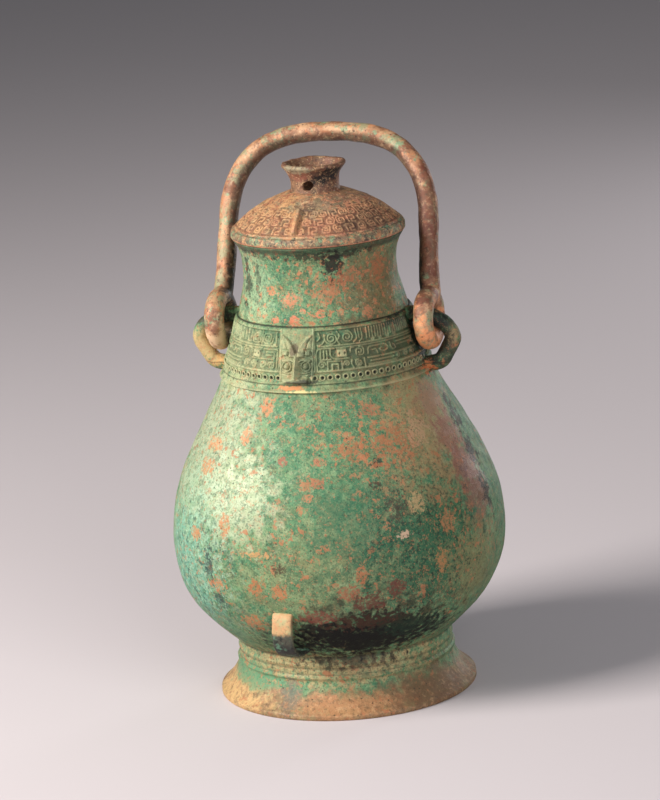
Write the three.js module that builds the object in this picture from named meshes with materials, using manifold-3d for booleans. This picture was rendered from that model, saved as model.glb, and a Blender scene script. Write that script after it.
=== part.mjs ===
// A cast bronze wine vessel: a pear-shaped body on a flared ring foot, a decorated band with two
// animal masks, two ears, a small loop low on the belly, a loose lid with a ring knob, and a swing
// handle whose closed rings are linked through the ears.
// Millimetres, +Z up. The origin is the centre of the foot's underside, -Y is the front and the
// ears stand on the X axis.

import * as THREE from 'three';
import { mergeVertices } from 'three/addons/utils/BufferGeometryUtils.js';
import Module from 'manifold-3d';

const wasm = await Module();
wasm.setup();

// Body wall and fit
const wall = 3.2;
const restGap = 0.3;             // hairline left where the lid rests on the mouth

// Foot ring
const footRadius = 81;
const footEdge = 3;              // height of the upright edge that it stands on
const footWaistRadius = 67.5;
const footWaistLevel = 23;
const footRidgeProud = 1.6;
const footRidgeHeight = 2.4;
const footFlareSpread = 0.2;     // how far the flare's curve is pulled out and up, as shares of its reach
const footFlareRise = 0.4;
const bellyFootLevel = 36;       // where the belly leaves the foot
const undersideLevel = 15;       // lowest point of the belly's underside, inside the foot

// Belly, neck and mouth: radius and height of each turning point
const bellyRadius = 104.2;
const bellyLevel = 100.7;
const bandRadius = 65.7;
const bandLevel = 204.8;
const bandHeight = 38;
const bandProud = 0.8;
const bandSlope = 0.37;          // radius lost for each millimetre of height at the band's lower edge
const neckRadius = 48;
const neckLevel = 264;
const mouthRadius = 53;
const mouthLevel = 290.6;
const mouthFlare = 0.63;         // radius gained for each millimetre of height at the mouth

// Fullness of each stretch of the outline: the pull at its lower and upper end, as a share of its rise
const bellyFootPull = { out: 0.25, up: 0.24 };
const bellyPull = 0.56;
const shoulderPull = 0.446;
const bandFootPull = 0.283;
const neckFootPull = 0.33;
const neckPull = 0.05;
const mouthFootPull = 0.27;
const mouthPull = 0.4;

// Decorated frieze in the upper part of the band
const friezeMargin = 2.4;        // plain strip above it
const friezeHeight = 23;
const friezeLineWidth = 1.6;
const strokeWidth = 1.5;
const strokeProud = 1;
const strokeSink = 1.2;          // how deep a raised stroke is rooted in the wall

// Masks at the front and back of the band
const maskWidth = 20;
const maskHeight = 31;
const hornProud = 2.2;
const noseProud = 5.5;
const noseWidth = 4;
const eyeRadius = 2.8;
const eyeProud = 2.8;

// Places on a mask, as shares of its half width and of its height from its foot
const eyeAcross = 0.5;
const eyeUp = 0.27;
const hornFootUp = 0.3;
const hornTipUp = 0.97;
const snoutUp = 0.08;
const jawShare = 0.62;           // of the mask's width
const noseLine = [[0.93, -0.2], [0.8, 0.4], [0.3, 1], [snoutUp, 0.8]];   // height and share of noseProud

// Ears
const earRod = 10.6;             // thickness
const earReach = 82.2;           // from the axis to the middle of the outer bar
const earTopLevel = 239;
const earFootLevel = 208;
const earCorner = 7;             // how far its top corner is rounded off

// Small loop low on the belly
const loopWidth = 13;
const loopThick = 3.6;
const loopReach = 13;            // how far it stands out
const loopTopLevel = 75.6;
const loopFootLevel = 44.6;
const loopTurn = -4.2;           // degrees from the front mask, towards -X

// Handle
const handleRod = 12.4;
const ringHeight = 39.4;         // outer height of the closed end rings
const ringReach = 67.8;          // from the axis to the middle of each ring
const ringLevel = 236.2;         // pivot height
const handleReach = 65.8;        // from the axis to the middle of each leg
const handleShoulder = 54;       // height of the legs over the pivot
const handleHeight = 121.5;      // middle of the grip over the pivot
const handleTurnExponent = 2.7;  // 2 is an ellipse, more is squarer
const handleSkew = -0.06;        // sideways drift of the arch for each millimetre of height
const handleLean = 28;           // degrees that it rests tilted to the back

// Lid
const lidRadius = 54.1;
const lidRimHeight = 4;
const lidWall = 3;
const domeHeight = 27;           // from the lid's underside to the foot of the knob
const tongueDepth = 8;
const tongueClearance = 0.8;
const knobWaistRadius = 15;
const knobRadius = 19.6;
const knobHeight = 17;
const knobWall = 3.4;
const knobHole = 6;
const lidScrollCount = 10;
const lidScrollSize = 11;
const lidScrollMiddle = 0.34;    // share of the dome's line, from the rim
const finStretch = [0.16, 0.36, 0.56];   // where the fins start, bend and end on the dome's line
const finHeight = 3;
const finThick = 2.6;

// Facets
const turns = 32;
const cavityTurns = 16;

const degree = Math.PI / 180;
const point = (r, z) => new THREE.Vector2(r, z);

function solid(geometry) {
  geometry.deleteAttribute('normal');
  geometry.deleteAttribute('uv');
  const merged = mergeVertices(geometry, 1e-4);
  return new wasm.Manifold(new wasm.Mesh({
    numProp: 3,
    vertProperties: new Float32Array(merged.attributes.position.array),
    triVerts: new Uint32Array(merged.index.array),
  }));
}

function geometryOf(manifold) {
  const mesh = manifold.getMesh();
  const geometry = new THREE.BufferGeometry();
  geometry.setAttribute('position', new THREE.BufferAttribute(new Float32Array(mesh.vertProperties), 3));
  geometry.setIndex(new THREE.BufferAttribute(new Uint32Array(mesh.triVerts), 1));
  geometry.computeVertexNormals();
  return geometry;
}

// Turns an outline of (radius, height) points, closed on the axis, about +Z.
function turned(outline, segments) {
  const lathe = new THREE.LatheGeometry(outline, segments);
  lathe.rotateX(Math.PI / 2);
  return solid(lathe);
}

function tube(path, radius, steps, sides) {
  const section = new THREE.Shape().absarc(0, 0, radius, 0, 2 * Math.PI, false);
  return solid(new THREE.ExtrudeGeometry(section, {
    steps, curveSegments: sides / 2, bevelEnabled: false, extrudePath: path,
  }));
}

// Body outline
const bellyRise = bellyLevel - bellyFootLevel;
const shoulderRise = bandLevel - bellyLevel;
const neckRise = neckLevel - bandLevel;
const mouthRise = mouthLevel - neckLevel;
const lowerBelly = new THREE.CubicBezierCurve(
  point(footWaistRadius, bellyFootLevel),
  point(footWaistRadius + bellyFootPull.out * bellyRise, bellyFootLevel + bellyFootPull.up * bellyRise),
  point(bellyRadius, bellyLevel - bellyPull * bellyRise),
  point(bellyRadius, bellyLevel));
const shoulder = new THREE.CubicBezierCurve(
  point(bellyRadius, bellyLevel),
  point(bellyRadius, bellyLevel + shoulderPull * shoulderRise),
  point(bandRadius + bandSlope * bandFootPull * shoulderRise, bandLevel - bandFootPull * shoulderRise),
  point(bandRadius, bandLevel));
const neck = new THREE.CubicBezierCurve(
  point(bandRadius, bandLevel),
  point(bandRadius - bandSlope * neckFootPull * neckRise, bandLevel + neckFootPull * neckRise),
  point(neckRadius, neckLevel - neckPull * neckRise),
  point(neckRadius, neckLevel));
const mouth = new THREE.CubicBezierCurve(
  point(neckRadius, neckLevel),
  point(neckRadius, neckLevel + mouthFootPull * mouthRise),
  point(mouthRadius - mouthFlare * mouthPull * mouthRise, mouthLevel - mouthPull * mouthRise),
  point(mouthRadius, mouthLevel));

const bodySamples = [lowerBelly, shoulder, neck, mouth].flatMap((curve) => curve.getPoints(60));

// Outer radius of the plain body at a height.
function bodyRadius(z) {
  const upper = bodySamples.findIndex((sample, i) => (
    i > 0 && sample.y >= z && sample.y > bodySamples[i - 1].y));
  const high = bodySamples[upper];
  const low = bodySamples[upper - 1];
  return low.x + (high.x - low.x) * (z - low.y) / (high.y - low.y);
}

const bandTop = bandLevel + bandHeight;
const friezeTop = bandTop - friezeMargin;
const friezeFoot = friezeTop - friezeHeight;

function bandRadiusAt(z) {
  return bodyRadius(z) + bandProud;
}

// The heights that part a stretch into equal lengths.
const between = (low, high, parts) => Array.from({ length: parts - 1 }, (_, i) => (
  low + ((high - low) * (i + 1)) / parts));

function bodyOutline() {
  const lowerPoints = [...lowerBelly.getPoints(6), ...shoulder.getPoints(6).slice(1, -1)];
  const lineLevel = friezeFoot - friezeLineWidth / 2;
  const onBandAt = (z, out = 0) => point(bandRadiusAt(z) + out, z);
  const bandPoints = [
    onBandAt(bandLevel),
    onBandAt((bandLevel + friezeFoot) / 2),
    onBandAt(friezeFoot - friezeLineWidth),
    onBandAt(lineLevel, strokeProud),
    onBandAt(friezeFoot),
    ...between(friezeFoot, bandTop, 3).map((z) => onBandAt(z)),
    onBandAt(bandTop),
  ];
  const neckPoints = [bandTop, ...between(bandTop, neckLevel, 3)];
  return [
    ...lowerPoints,
    point(bodyRadius(bandLevel), bandLevel - bandProud),
    ...bandPoints,
    ...neckPoints.map((z, i) => point(bodyRadius(z), z + (i ? 0 : bandProud))),
    ...mouth.getPoints(3),
  ];
}

function footOutline() {
  const flare = new THREE.QuadraticBezierCurve(
    point(footRadius, footEdge),
    point(
      footWaistRadius + footFlareSpread * (footRadius - footWaistRadius),
      footEdge + footFlareRise * (footWaistLevel - footEdge)),
    point(footWaistRadius, footWaistLevel - footRidgeHeight / 2));
  return [
    point(footRadius, 0),
    ...flare.getPoints(4),
    point(footWaistRadius + footRidgeProud, footWaistLevel),
    point(footWaistRadius, footWaistLevel + footRidgeHeight / 2),
  ];
}

// A quarter of an ellipse from its lowest point on the axis out to its rim.
const bowl = (rx, rz, rimLevel, count) => Array.from({ length: count + 1 }, (_, i) => {
  const angle = (i / count) * Math.PI / 2;
  return point(rx * Math.sin(angle), rimLevel - rz * Math.cos(angle));
});

// The belly's floor is a shallow bowl closed inside the foot.
function bodyShell() {
  const outside = turned([point(0, 0), ...footOutline(), ...bodyOutline(), point(0, mouthLevel)], turns);
  const footInside = footOutline().map((p) => point(p.x - wall, p.y)).filter((p) => p.y < bellyFootLevel);
  const bowlRadius = footWaistRadius - wall;
  const bowlDepth = bellyFootLevel - undersideLevel;
  const underside = bowl(bowlRadius, bowlDepth, bellyFootLevel, 5);
  const inFoot = footInside.filter((p) => (
    p.x > bowlRadius + 0.01 && p.y < footWaistLevel - footRidgeHeight));
  const hollowFoot = turned([
    point(0, -1), point(footRadius - wall, -1), ...inFoot,
    point(bowlRadius, footWaistLevel - footRidgeHeight), ...underside.reverse(),
  ], cavityTurns);
  const floor = bowl(bowlRadius, bowlDepth, bellyFootLevel + wall, 4);
  const inner = [[lowerBelly, 4], [shoulder, 4], [neck, 2], [mouth, 2]]
    .flatMap(([curve, parts]) => curve.getPoints(parts).slice(1))
    .map((p) => point(p.x - wall, p.y));
  const cavity = turned([...floor, ...inner.filter((p) => p.y > bellyFootLevel + wall + 1),
    point(mouthRadius - wall + mouthFlare, mouthLevel + 1), point(0, mouthLevel + 1)], cavityTurns);
  return outside.subtract(hollowFoot).subtract(cavity);
}

// Places a panel's point (degrees from the front, height) on the band, at a distance out of it.
function onBand(angle, z, out) {
  const radius = bandRadiusAt(z) + out;
  return [radius * Math.sin(angle * degree), -radius * Math.cos(angle * degree), z];
}

// Bends a flat extrusion round the band: x is the angle, y the height and z the distance out.
function wrapped(geometry, mirror) {
  const position = geometry.attributes.position;
  for (let i = 0; i < position.count; i += 1) {
    position.setXYZ(i, ...onBand(position.getX(i), position.getY(i), position.getZ(i)));
  }
  const bent = solid(geometry);
  return mirror ? turnedOut(bent) : bent;
}

// Swaps the winding of a mirrored solid's triangles, so that its faces point out again.
function turnedOut(manifold) {
  const { vertProperties, triVerts } = manifold.getMesh();
  return new wasm.Manifold(new wasm.Mesh({
    numProp: 3, vertProperties, triVerts: triVerts.slice().reverse(),
  }));
}

// A raised bar of one width along a flat line of points, set on a surface by place(x, y, out).
function stroke(points, width, proud, place) {
  const rows = points.map((p, i) => {
    const before = points[Math.max(i - 1, 0)];
    const after = points[Math.min(i + 1, points.length - 1)];
    const across = after.clone().sub(before).normalize().rotateAround(point(0, 0), Math.PI / 2);
    const left = p.clone().addScaledVector(across, width / 2);
    const right = p.clone().addScaledVector(across, -width / 2);
    return [[left, -strokeSink], [left, proud], [right, proud], [right, -strokeSink]];
  });
  const positions = rows.flat().flatMap(([p, out]) => place(p.x, p.y, out));
  const last = 4 * (rows.length - 1);
  const faces = [0, 1, 2, 0, 2, 3, last, last + 2, last + 1, last, last + 3, last + 2];
  for (let row = 0; row < last; row += 4) {
    for (let k = 0; k < 4; k += 1) {
      const next = (k + 1) % 4;
      faces.push(row + k, row + 4 + k, row + 4 + next, row + k, row + 4 + next, row + next);
    }
  }
  const bar = new wasm.Manifold(new wasm.Mesh({
    numProp: 3, vertProperties: new Float32Array(positions), triVerts: new Uint32Array(faces),
  }));
  return bar.volume() < 0 ? turnedOut(bar) : bar;
}

// A squarish or round scroll that winds in from its rim, in panel units.
function scroll(x, y, radius, windings, start, hand = 1) {
  const count = Math.round(windings * 4.2);
  return Array.from({ length: count + 1 }, (_, i) => {
    const share = i / count;
    const angle = (start + hand * share * windings * 360) * degree;
    const reach = radius * (1 - 0.72 * share);
    return point(x + reach * Math.cos(angle), y + reach * Math.sin(angle));
  });
}

// A line of straight runs, with a point at least every 8 units so that it follows the round wall.
function line(...corners) {
  const points = [point(...corners[0])];
  for (let i = 1; i < corners.length; i += 1) {
    const from = point(...corners[i - 1]);
    const to = point(...corners[i]);
    const runs = Math.ceil(from.distanceTo(to) / 8);
    for (let k = 1; k <= runs; k += 1) {
      points.push(from.clone().lerp(to, k / runs));
    }
  }
  return points;
}

// One dragon panel from the mask's edge to the ear, 70 units long and 24 high: a top row of
// scrolls and a plume, a middle row with the eye and the body, and a lower row of feet and claws.
const panelLength = 70;
const panelTall = 24;
const panelStrokes = [
  scroll(10, 19, 3.9, 1.25, 180),
  scroll(22.5, 18.6, 3.5, 1.2, 100, -1),
  line([30, 16.5], [30, 22.5], [37, 22.5]),
  ...[45, 56].map((x) => line([x, 16.5], [x + 0.6, 22.5])),
  line([3, 14.2], [65, 14.2]),
  line([33, 8.6], [33, 11.6], [60, 11.6]),
  scroll(8, 4.2, 3.2, 1.2, 0),
  scroll(27, 4.2, 3, 1.2, 90, -1),
  line([36, 5.4], [65, 5.4]),
];
const eyeBoss = { line: line([11.5, 10.2], [15, 10.6], [18.5, 10.2]), width: 4.6, proud: 1.8 };

const maskHalfAngle = (maskWidth / 2 / bandRadiusAt(friezeFoot + friezeHeight / 2)) / degree;
const panelStart = maskHalfAngle + 1.5;
const panelEnd = 90 - (earRod / 2 / bandRadiusAt(friezeFoot + friezeHeight / 2)) / degree;

// The four panels mirror each other about the masks and the ears, and the back ones are plainer.
function friezePanels() {
  const parts = [];
  const backStrokes = panelStrokes.filter((points, i) => i % 2 === 0);
  for (const [middle, hand] of [[0, 1], [0, -1], [180, 1], [180, -1]]) {
    const place = (x, y, out) => onBand(
      middle + hand * (panelStart + (x / panelLength) * (panelEnd - panelStart)),
      friezeFoot + (y / panelTall) * friezeHeight,
      out);
    for (const points of middle ? backStrokes : panelStrokes) {
      parts.push(stroke(points, strokeWidth, strokeProud, place));
    }
    parts.push(stroke(eyeBoss.line, eyeBoss.width, eyeBoss.proud, place));
  }
  return parts;
}

// A mask: two leaf-shaped horns that sweep down to the nose ridge, round eyes and a jutting snout.
function mask(middle) {
  const foot = friezeTop - maskHeight;
  const half = maskWidth / 2;
  const toAngle = maskHalfAngle / half;
  const parts = [];
  for (const side of [-1, 1]) {
    const horn = new THREE.Shape();
    horn.moveTo(1, hornFootUp * maskHeight);
    horn.quadraticCurveTo(0.45 * half, 0.5 * maskHeight, 0.9 * half, hornTipUp * maskHeight);
    horn.quadraticCurveTo(1.05 * half, 0.62 * maskHeight, 0.62 * half, 0.4 * maskHeight);
    horn.lineTo(1, hornFootUp * maskHeight);
    const eye = new THREE.Shape().absarc(eyeAcross * half, eyeUp * maskHeight, eyeRadius, 0, 2 * Math.PI);
    for (const [flat, proud] of [[horn, hornProud], [eye, eyeProud]]) {
      const raised = new THREE.ExtrudeGeometry(flat, {
        depth: proud + strokeSink, curveSegments: 3, bevelEnabled: false,
      });
      const position = raised.attributes.position;
      for (let i = 0; i < position.count; i += 1) {
        position.setX(i, middle + side * toAngle * position.getX(i));
        position.setY(i, foot + position.getY(i));
        position.setZ(i, position.getZ(i) - strokeSink);
      }
      parts.push(wrapped(raised, side < 0));
    }
    parts.push(stroke(line([half, 0], [half, maskHeight]), strokeWidth, strokeProud,
      (x, y, out) => onBand(middle + side * toAngle * x, foot + y, out)));
  }
  const snout = bandRadiusAt(foot + snoutUp * maskHeight);
  const nose = new THREE.Shape([
    ...noseLine.map(([up, proud]) => point(
      bandRadiusAt(foot + up * maskHeight) + proud * noseProud, foot + up * maskHeight)),
    point(snout - strokeSink, foot),
  ]);
  const ridge = new THREE.ExtrudeGeometry(nose, { depth: noseWidth, bevelEnabled: false });
  const jawWidth = jawShare * maskWidth;
  const jawProud = snout + 0.55 * noseProud;
  const jaw = new THREE.ExtrudeGeometry(new THREE.Shape([
    point(snout - strokeSink, foot + 2 * snoutUp * maskHeight),
    point(jawProud, foot + 1.5 * snoutUp * maskHeight),
    point(jawProud, foot + 0.4 * snoutUp * maskHeight),
    point(snout - strokeSink, foot),
  ]), { depth: jawWidth, bevelEnabled: false });
  for (const [piece, width] of [[ridge, noseWidth], [jaw, jawWidth]]) {
    piece.translate(0, 0, -width / 2);
    piece.rotateX(Math.PI / 2);
    piece.rotateZ((middle - 90) * degree);
    parts.push(solid(piece));
  }
  return parts;
}

// A D-shaped ear: its top arm passes through the handle's ring and its bar comes back to the band.
function ear(side) {
  const root = wall / 2;
  const path = new THREE.CatmullRomCurve3([
    [bodyRadius(earTopLevel) - root, earTopLevel],
    [ringReach - earCorner, earTopLevel],
    [ringReach + 1, earTopLevel - 1.5],
    [earReach - 4, earTopLevel - earCorner],
    [earReach, (earTopLevel + earFootLevel) / 2 + 1],
    [earReach - 4, earFootLevel + 8],
    [(earReach + bodyRadius(earFootLevel)) / 2, earFootLevel + 1.5],
    [bodyRadius(earFootLevel) - root, earFootLevel - 1],
  ].map(([x, z]) => new THREE.Vector3(side * x, 0, z)));
  return tube(path, earRod / 2, 14, 8);
}

// The small loop: a flat strap bent out from the wall and back, with its eye open sideways.
function smallLoop() {
  const inWall = (z) => bodyRadius(z) - wall / 2;
  const middle = (loopTopLevel + loopFootLevel) / 2;
  const reach = bodyRadius(middle) + loopReach;
  const outer = new THREE.Shape();
  outer.moveTo(inWall(loopTopLevel), loopTopLevel);
  outer.bezierCurveTo(reach, loopTopLevel, reach, middle + 2, reach - 1, middle - 2);
  outer.quadraticCurveTo(reach - 2, loopFootLevel - 1, inWall(loopFootLevel), loopFootLevel - 2);
  const eye = new THREE.Path();
  eye.moveTo(inWall(loopTopLevel - loopThick), loopTopLevel - loopThick);
  eye.bezierCurveTo(
    reach - loopThick, loopTopLevel - loopThick,
    reach - loopThick, middle + 2,
    reach - loopThick - 1, middle - 2);
  eye.quadraticCurveTo(reach - 2 - loopThick, loopFootLevel + 2, inWall(loopFootLevel), loopFootLevel + 2);
  const strap = new THREE.Shape([...outer.getPoints(6), ...eye.getPoints(6).reverse()]);
  const geometry = new THREE.ExtrudeGeometry(strap, { depth: loopWidth, bevelEnabled: false });
  geometry.translate(0, 0, -loopWidth / 2);
  geometry.rotateX(Math.PI / 2);
  geometry.rotateZ((loopTurn - 90) * degree);
  return solid(geometry);
}

function vessel() {
  let body = bodyShell();
  for (const part of [...friezePanels(), ...mask(0), ...mask(180), ear(1), ear(-1), smallLoop()]) {
    body = body.add(part);
  }
  return body;
}

// The dome's outer line, from the top of the rim to the foot of the knob.
const lidFoot = mouthLevel + restGap;
const domeTop = lidFoot + domeHeight;
const dome = new THREE.QuadraticBezierCurve(
  point(lidRadius - 0.6, lidFoot + lidRimHeight),
  point(0.66 * lidRadius, domeTop - 0.2 * domeHeight),
  point(knobWaistRadius, domeTop));

// The lid is hollow under its dome, with a tongue that drops into the mouth.
function lid() {
  const tongueRadius = bodyRadius(mouthLevel - tongueDepth) - wall - tongueClearance;
  const knobTop = domeTop + knobHeight;
  const knobSide = new THREE.QuadraticBezierCurve(
    point(knobWaistRadius, domeTop),
    point(knobWaistRadius - 1.5, domeTop + 0.45 * knobHeight),
    point(knobRadius, knobTop - 2));
  const outside = turned([
    point(0, lidFoot - tongueDepth), point(tongueRadius, lidFoot - tongueDepth),
    point(tongueRadius, lidFoot),
    point(lidRadius, lidFoot), point(lidRadius, lidFoot + lidRimHeight), ...dome.getPoints(5),
    ...knobSide.getPoints(3).slice(1), point(knobRadius, knobTop), point(0, knobTop),
  ], turns);
  const cup = turned([
    point(0, domeTop), point(knobWaistRadius - knobWall, domeTop),
    point(knobWaistRadius - knobWall, domeTop + 0.4 * knobHeight),
    point(knobRadius - knobWall, knobTop), point(knobRadius - knobWall, knobTop + 1), point(0, knobTop + 1),
  ], cavityTurns);
  const under = dome.getPoints(5).map((p) => (
    point(Math.min(p.x, tongueRadius + lidWall) - lidWall, p.y - lidWall)));
  const hollow = turned([
    point(0, lidFoot - tongueDepth - 1), point(tongueRadius - lidWall, lidFoot - tongueDepth - 1),
    ...under.filter((p, i) => i === 0 || p.x < tongueRadius - lidWall - 0.5),
    point(0, domeTop - lidWall + 1),
  ], cavityTurns);
  const drill = new THREE.CylinderGeometry(knobHole / 2, knobHole / 2, 4 * knobRadius, 8);
  const hole = solid(drill).translate([0, 0, domeTop + 0.25 * knobHeight]);
  let body = outside.subtract(cup).subtract(hollow).subtract(hole);
  for (const side of [-1, 1]) {
    const finLine = finStretch.map((share) => dome.getPoint(share));
    const fin = new THREE.ExtrudeGeometry(new THREE.Shape([
      ...finLine.map((p) => point(p.x, p.y + finHeight)),
      ...finLine.reverse().map((p) => point(p.x, p.y - strokeSink)),
    ]), { depth: finThick, bevelEnabled: false });
    fin.translate(0, 0, -finThick / 2);
    fin.rotateX(Math.PI / 2);
    fin.rotateZ(side * 90 * degree);
    body = body.add(solid(fin));
  }
  for (const part of lidScrolls()) {
    body = body.add(part);
  }
  return body;
}

// A row of squarish scrolls round the dome.
function lidScrolls() {
  return Array.from({ length: lidScrollCount }, (_, i) => {
    const middle = ((i + 0.5) / lidScrollCount) * 2 * Math.PI;
    const place = (x, y, out) => {
      const share = lidScrollMiddle + y / dome.getLength();
      const at = dome.getPoint(share);
      const along = dome.getTangent(share);
      const angle = middle + x / dome.getPoint(lidScrollMiddle).x;
      const radius = at.x + along.y * out;
      return [radius * Math.sin(angle), -radius * Math.cos(angle), at.y - along.x * out];
    };
    const hand = i % 2 ? 1 : -1;
    return stroke(scroll(0, 0, lidScrollSize / 2, 1.25, 45 * hand, hand), strokeWidth, strokeProud, place);
  });
}

// Handle: a squared arch in one plane with a closed ring at each foot, leaned about the ring centres.
function handle() {
  const ringRadius = (ringHeight - handleRod) / 2;
  const rise = handleHeight - handleShoulder;
  const arc = Array.from({ length: 13 }, (_, i) => {
    const angle = (i / 12) * Math.PI;
    const cos = Math.cos(angle);
    const sin = Math.sin(angle);
    const power = 2 / handleTurnExponent;
    return [Math.sign(cos) * handleReach * Math.abs(cos) ** power, handleShoulder + rise * sin ** power];
  });
  const leg = (side) => [
    [side * ringReach, ringRadius],
    [side * (handleReach + 0.4), ringRadius + 0.35 * handleShoulder],
  ];
  const line = [...leg(1), ...arc, ...leg(-1).reverse()];
  const path = new THREE.CatmullRomCurve3(
    line.map(([x, z]) => new THREE.Vector3(x + handleSkew * (z - ringRadius), 0, z)),
    false, 'centripetal');
  let body = tube(path, handleRod / 2, 30, 8);
  for (const side of [-1, 1]) {
    const ring = new THREE.TorusGeometry(ringRadius, handleRod / 2, 8, 16);
    ring.rotateY(Math.PI / 2);
    ring.translate(side * ringReach, 0, 0);
    body = body.add(solid(ring));
  }
  return body.rotate([-handleLean, 0, 0]).translate([0, 0, ringLevel]);
}

const bronze = (color, roughness) => (
  new THREE.MeshStandardMaterial({ color, roughness, metalness: 0.25 }));

const wineVessel = new THREE.Group();
for (const [name, manifold, material] of [
  ['vessel', vessel(), bronze(0x5f8f74, 0.7)],
  ['lid', lid(), bronze(0x9a8463, 0.75)],
  ['handle', handle(), bronze(0x8f6d4c, 0.7)],
]) {
  const mesh = new THREE.Mesh(geometryOf(manifold), material);
  mesh.name = name;
  wineVessel.add(mesh);
}

export default wineVessel;
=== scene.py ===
# A bronze wine vessel with its patina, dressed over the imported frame.
# Sizes are in millimetres, angles in degrees from the front mask towards +X.
import math

import bpy
import numpy as np
from mathutils import Matrix, Vector, noise


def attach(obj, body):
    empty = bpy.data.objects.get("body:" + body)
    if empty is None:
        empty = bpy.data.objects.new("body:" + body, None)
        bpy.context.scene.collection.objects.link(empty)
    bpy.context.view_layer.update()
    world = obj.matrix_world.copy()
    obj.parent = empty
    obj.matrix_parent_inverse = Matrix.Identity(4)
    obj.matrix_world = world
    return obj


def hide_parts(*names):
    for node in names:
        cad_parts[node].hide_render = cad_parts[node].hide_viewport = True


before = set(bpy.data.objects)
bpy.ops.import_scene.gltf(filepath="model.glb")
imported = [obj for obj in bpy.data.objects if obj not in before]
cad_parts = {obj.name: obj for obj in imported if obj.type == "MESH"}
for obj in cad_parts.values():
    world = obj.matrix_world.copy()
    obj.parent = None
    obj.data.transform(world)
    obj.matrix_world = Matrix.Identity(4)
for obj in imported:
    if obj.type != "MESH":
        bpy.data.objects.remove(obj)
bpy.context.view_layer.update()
mm = 0.001


# Curves

def bezier(controls, count):
    t = np.linspace(0, 1, count)[:, None]
    points = [np.array(c, float) for c in controls]
    while len(points) > 1:
        points = [a * (1 - t) + b * t for a, b in zip(points, points[1:])]
    return points[0]


def evenly(points, step):
    # the same line with a point every step
    points = np.array(points, float)
    run = np.concatenate([[0], np.cumsum(np.linalg.norm(np.diff(points, axis=0), axis=1))])
    at = np.linspace(0, run[-1], max(2, round(run[-1] / step) + 1))
    return np.stack([np.interp(at, run, points[:, k]) for k in range(points.shape[1])], -1)


def smoothLine(points, steps):
    # a centripetal Catmull-Rom line through the points
    points = [np.array(p, float) for p in points]
    points = [2 * points[0] - points[1], *points, 2 * points[-1] - points[-2]]
    out = []
    for p0, p1, p2, p3 in zip(points, points[1:], points[2:], points[3:]):
        d0, d1, d2 = [np.linalg.norm(b - a) ** 0.5 for a, b in ((p0, p1), (p1, p2), (p2, p3))]
        m1 = ((p1 - p0) / d0 - (p2 - p0) / (d0 + d1) + (p2 - p1) / d1) * d1
        m2 = ((p2 - p1) / d1 - (p3 - p1) / (d1 + d2) + (p3 - p2) / d2) * d1
        for t in np.arange(steps) / steps:
            out.append((2 * t**3 - 3 * t**2 + 1) * p1 + (t**3 - 2 * t**2 + t) * m1
                       + (3 * t**2 - 2 * t**3) * p2 + (t**3 - t**2) * m2)
    return np.array([*out, points[-2]])


def bump(values, centre, width, height):
    return height * np.exp(-((values - centre) / width) ** 2)


def smoothstep(values):
    t = np.clip(values, 0, 1)
    return t * t * (3 - 2 * t)


def grains(points, *sizes):
    # gentle unevenness: each grain is (size, depth)
    total = np.zeros(len(points))
    for size, depth in sizes:
        total += depth * np.array([noise.noise(Vector(p) / size) for p in points])
    return total


# Mesh making

def mark(mesh, label, values):
    # a value on each vertex, which the material reads by its label
    layer = mesh.attributes.new(label, "FLOAT", "POINT")
    layer.data.foreach_set("value", np.ascontiguousarray(values, dtype=np.float32))


def makePiece(name, vertices, faces, material, attributes=None):
    mesh = bpy.data.meshes.new(name)
    mesh.from_pydata((np.asarray(vertices) * mm).tolist(), [], faces.tolist())
    mesh.shade_smooth()
    for label, values in (attributes or {}).items():
        mark(mesh, label, values)
    mesh.materials.append(material)
    piece = bpy.data.objects.new(name, mesh)
    bpy.context.scene.collection.objects.link(piece)
    return piece


def handIn(piece, body, slot, *nodes):
    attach(piece, body)
    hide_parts(*nodes)
    print("made", piece.name, len(piece.data.polygons), "faces")
    return piece


def around(radius, turn, height):
    # the places at this radius and height, turned from the front towards +X
    return np.stack([radius * np.sin(turn), -radius * np.cos(turn), height], -1)


def gridFaces(rows, columns, closed):
    # the faces of a surface that closes round its columns, and round its rows if closed
    i = np.arange(rows if closed else rows - 1)[:, None]
    j = np.arange(columns)[None, :]
    above, beside = (i + 1) % rows, (j + 1) % columns
    corners = [i * columns + j, i * columns + beside, above * columns + beside, above * columns + j]
    return np.stack(corners, -1).reshape(-1, 4)


def turned(profile, columns, offsets, closed=False):
    # turns (radius, height) rows about the axis; an open profile starts and ends on it
    rows = np.array(profile if closed else profile[1:-1], float)
    ahead, behind = np.roll(rows, -1, 0), np.roll(rows, 1, 0)
    if not closed:
        ahead[-1], behind[0] = profile[-1], profile[0]
    run = ahead - behind
    run /= np.maximum(np.linalg.norm(run, axis=1, keepdims=True), 1e-9)
    angle = np.linspace(0, 2 * np.pi, columns, endpoint=False)
    radius = np.repeat(rows[:, :1], columns, 1)
    height = np.repeat(rows[:, 1:], columns, 1)
    push = offsets(radius, height, np.degrees(angle)[None, :], run)
    radius = radius + push * run[:, 1:]
    height = height - push * run[:, :1]
    vertices = around(radius, angle, height).reshape(-1, 3)
    faces = gridFaces(len(rows), columns, closed).tolist()
    if not closed:
        vertices = np.vstack([vertices, [[0, 0, profile[0][1]], [0, 0, profile[-1][1]]]])
        low, high, last = len(vertices) - 2, len(vertices) - 1, (len(rows) - 1) * columns
        faces += [[low, (k + 1) % columns, k] for k in range(columns)]
        faces += [[high, last + k, last + (k + 1) % columns] for k in range(columns)]
    return vertices, faces


class Faces(list):
    def tolist(self):
        return list(self)


# Camera at the photo's pose

photo = {"distance": 2200, "height": 715, "turn": 18, "pitch": 13.58, "roll": 3.98, "lens": 163.1}


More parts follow.
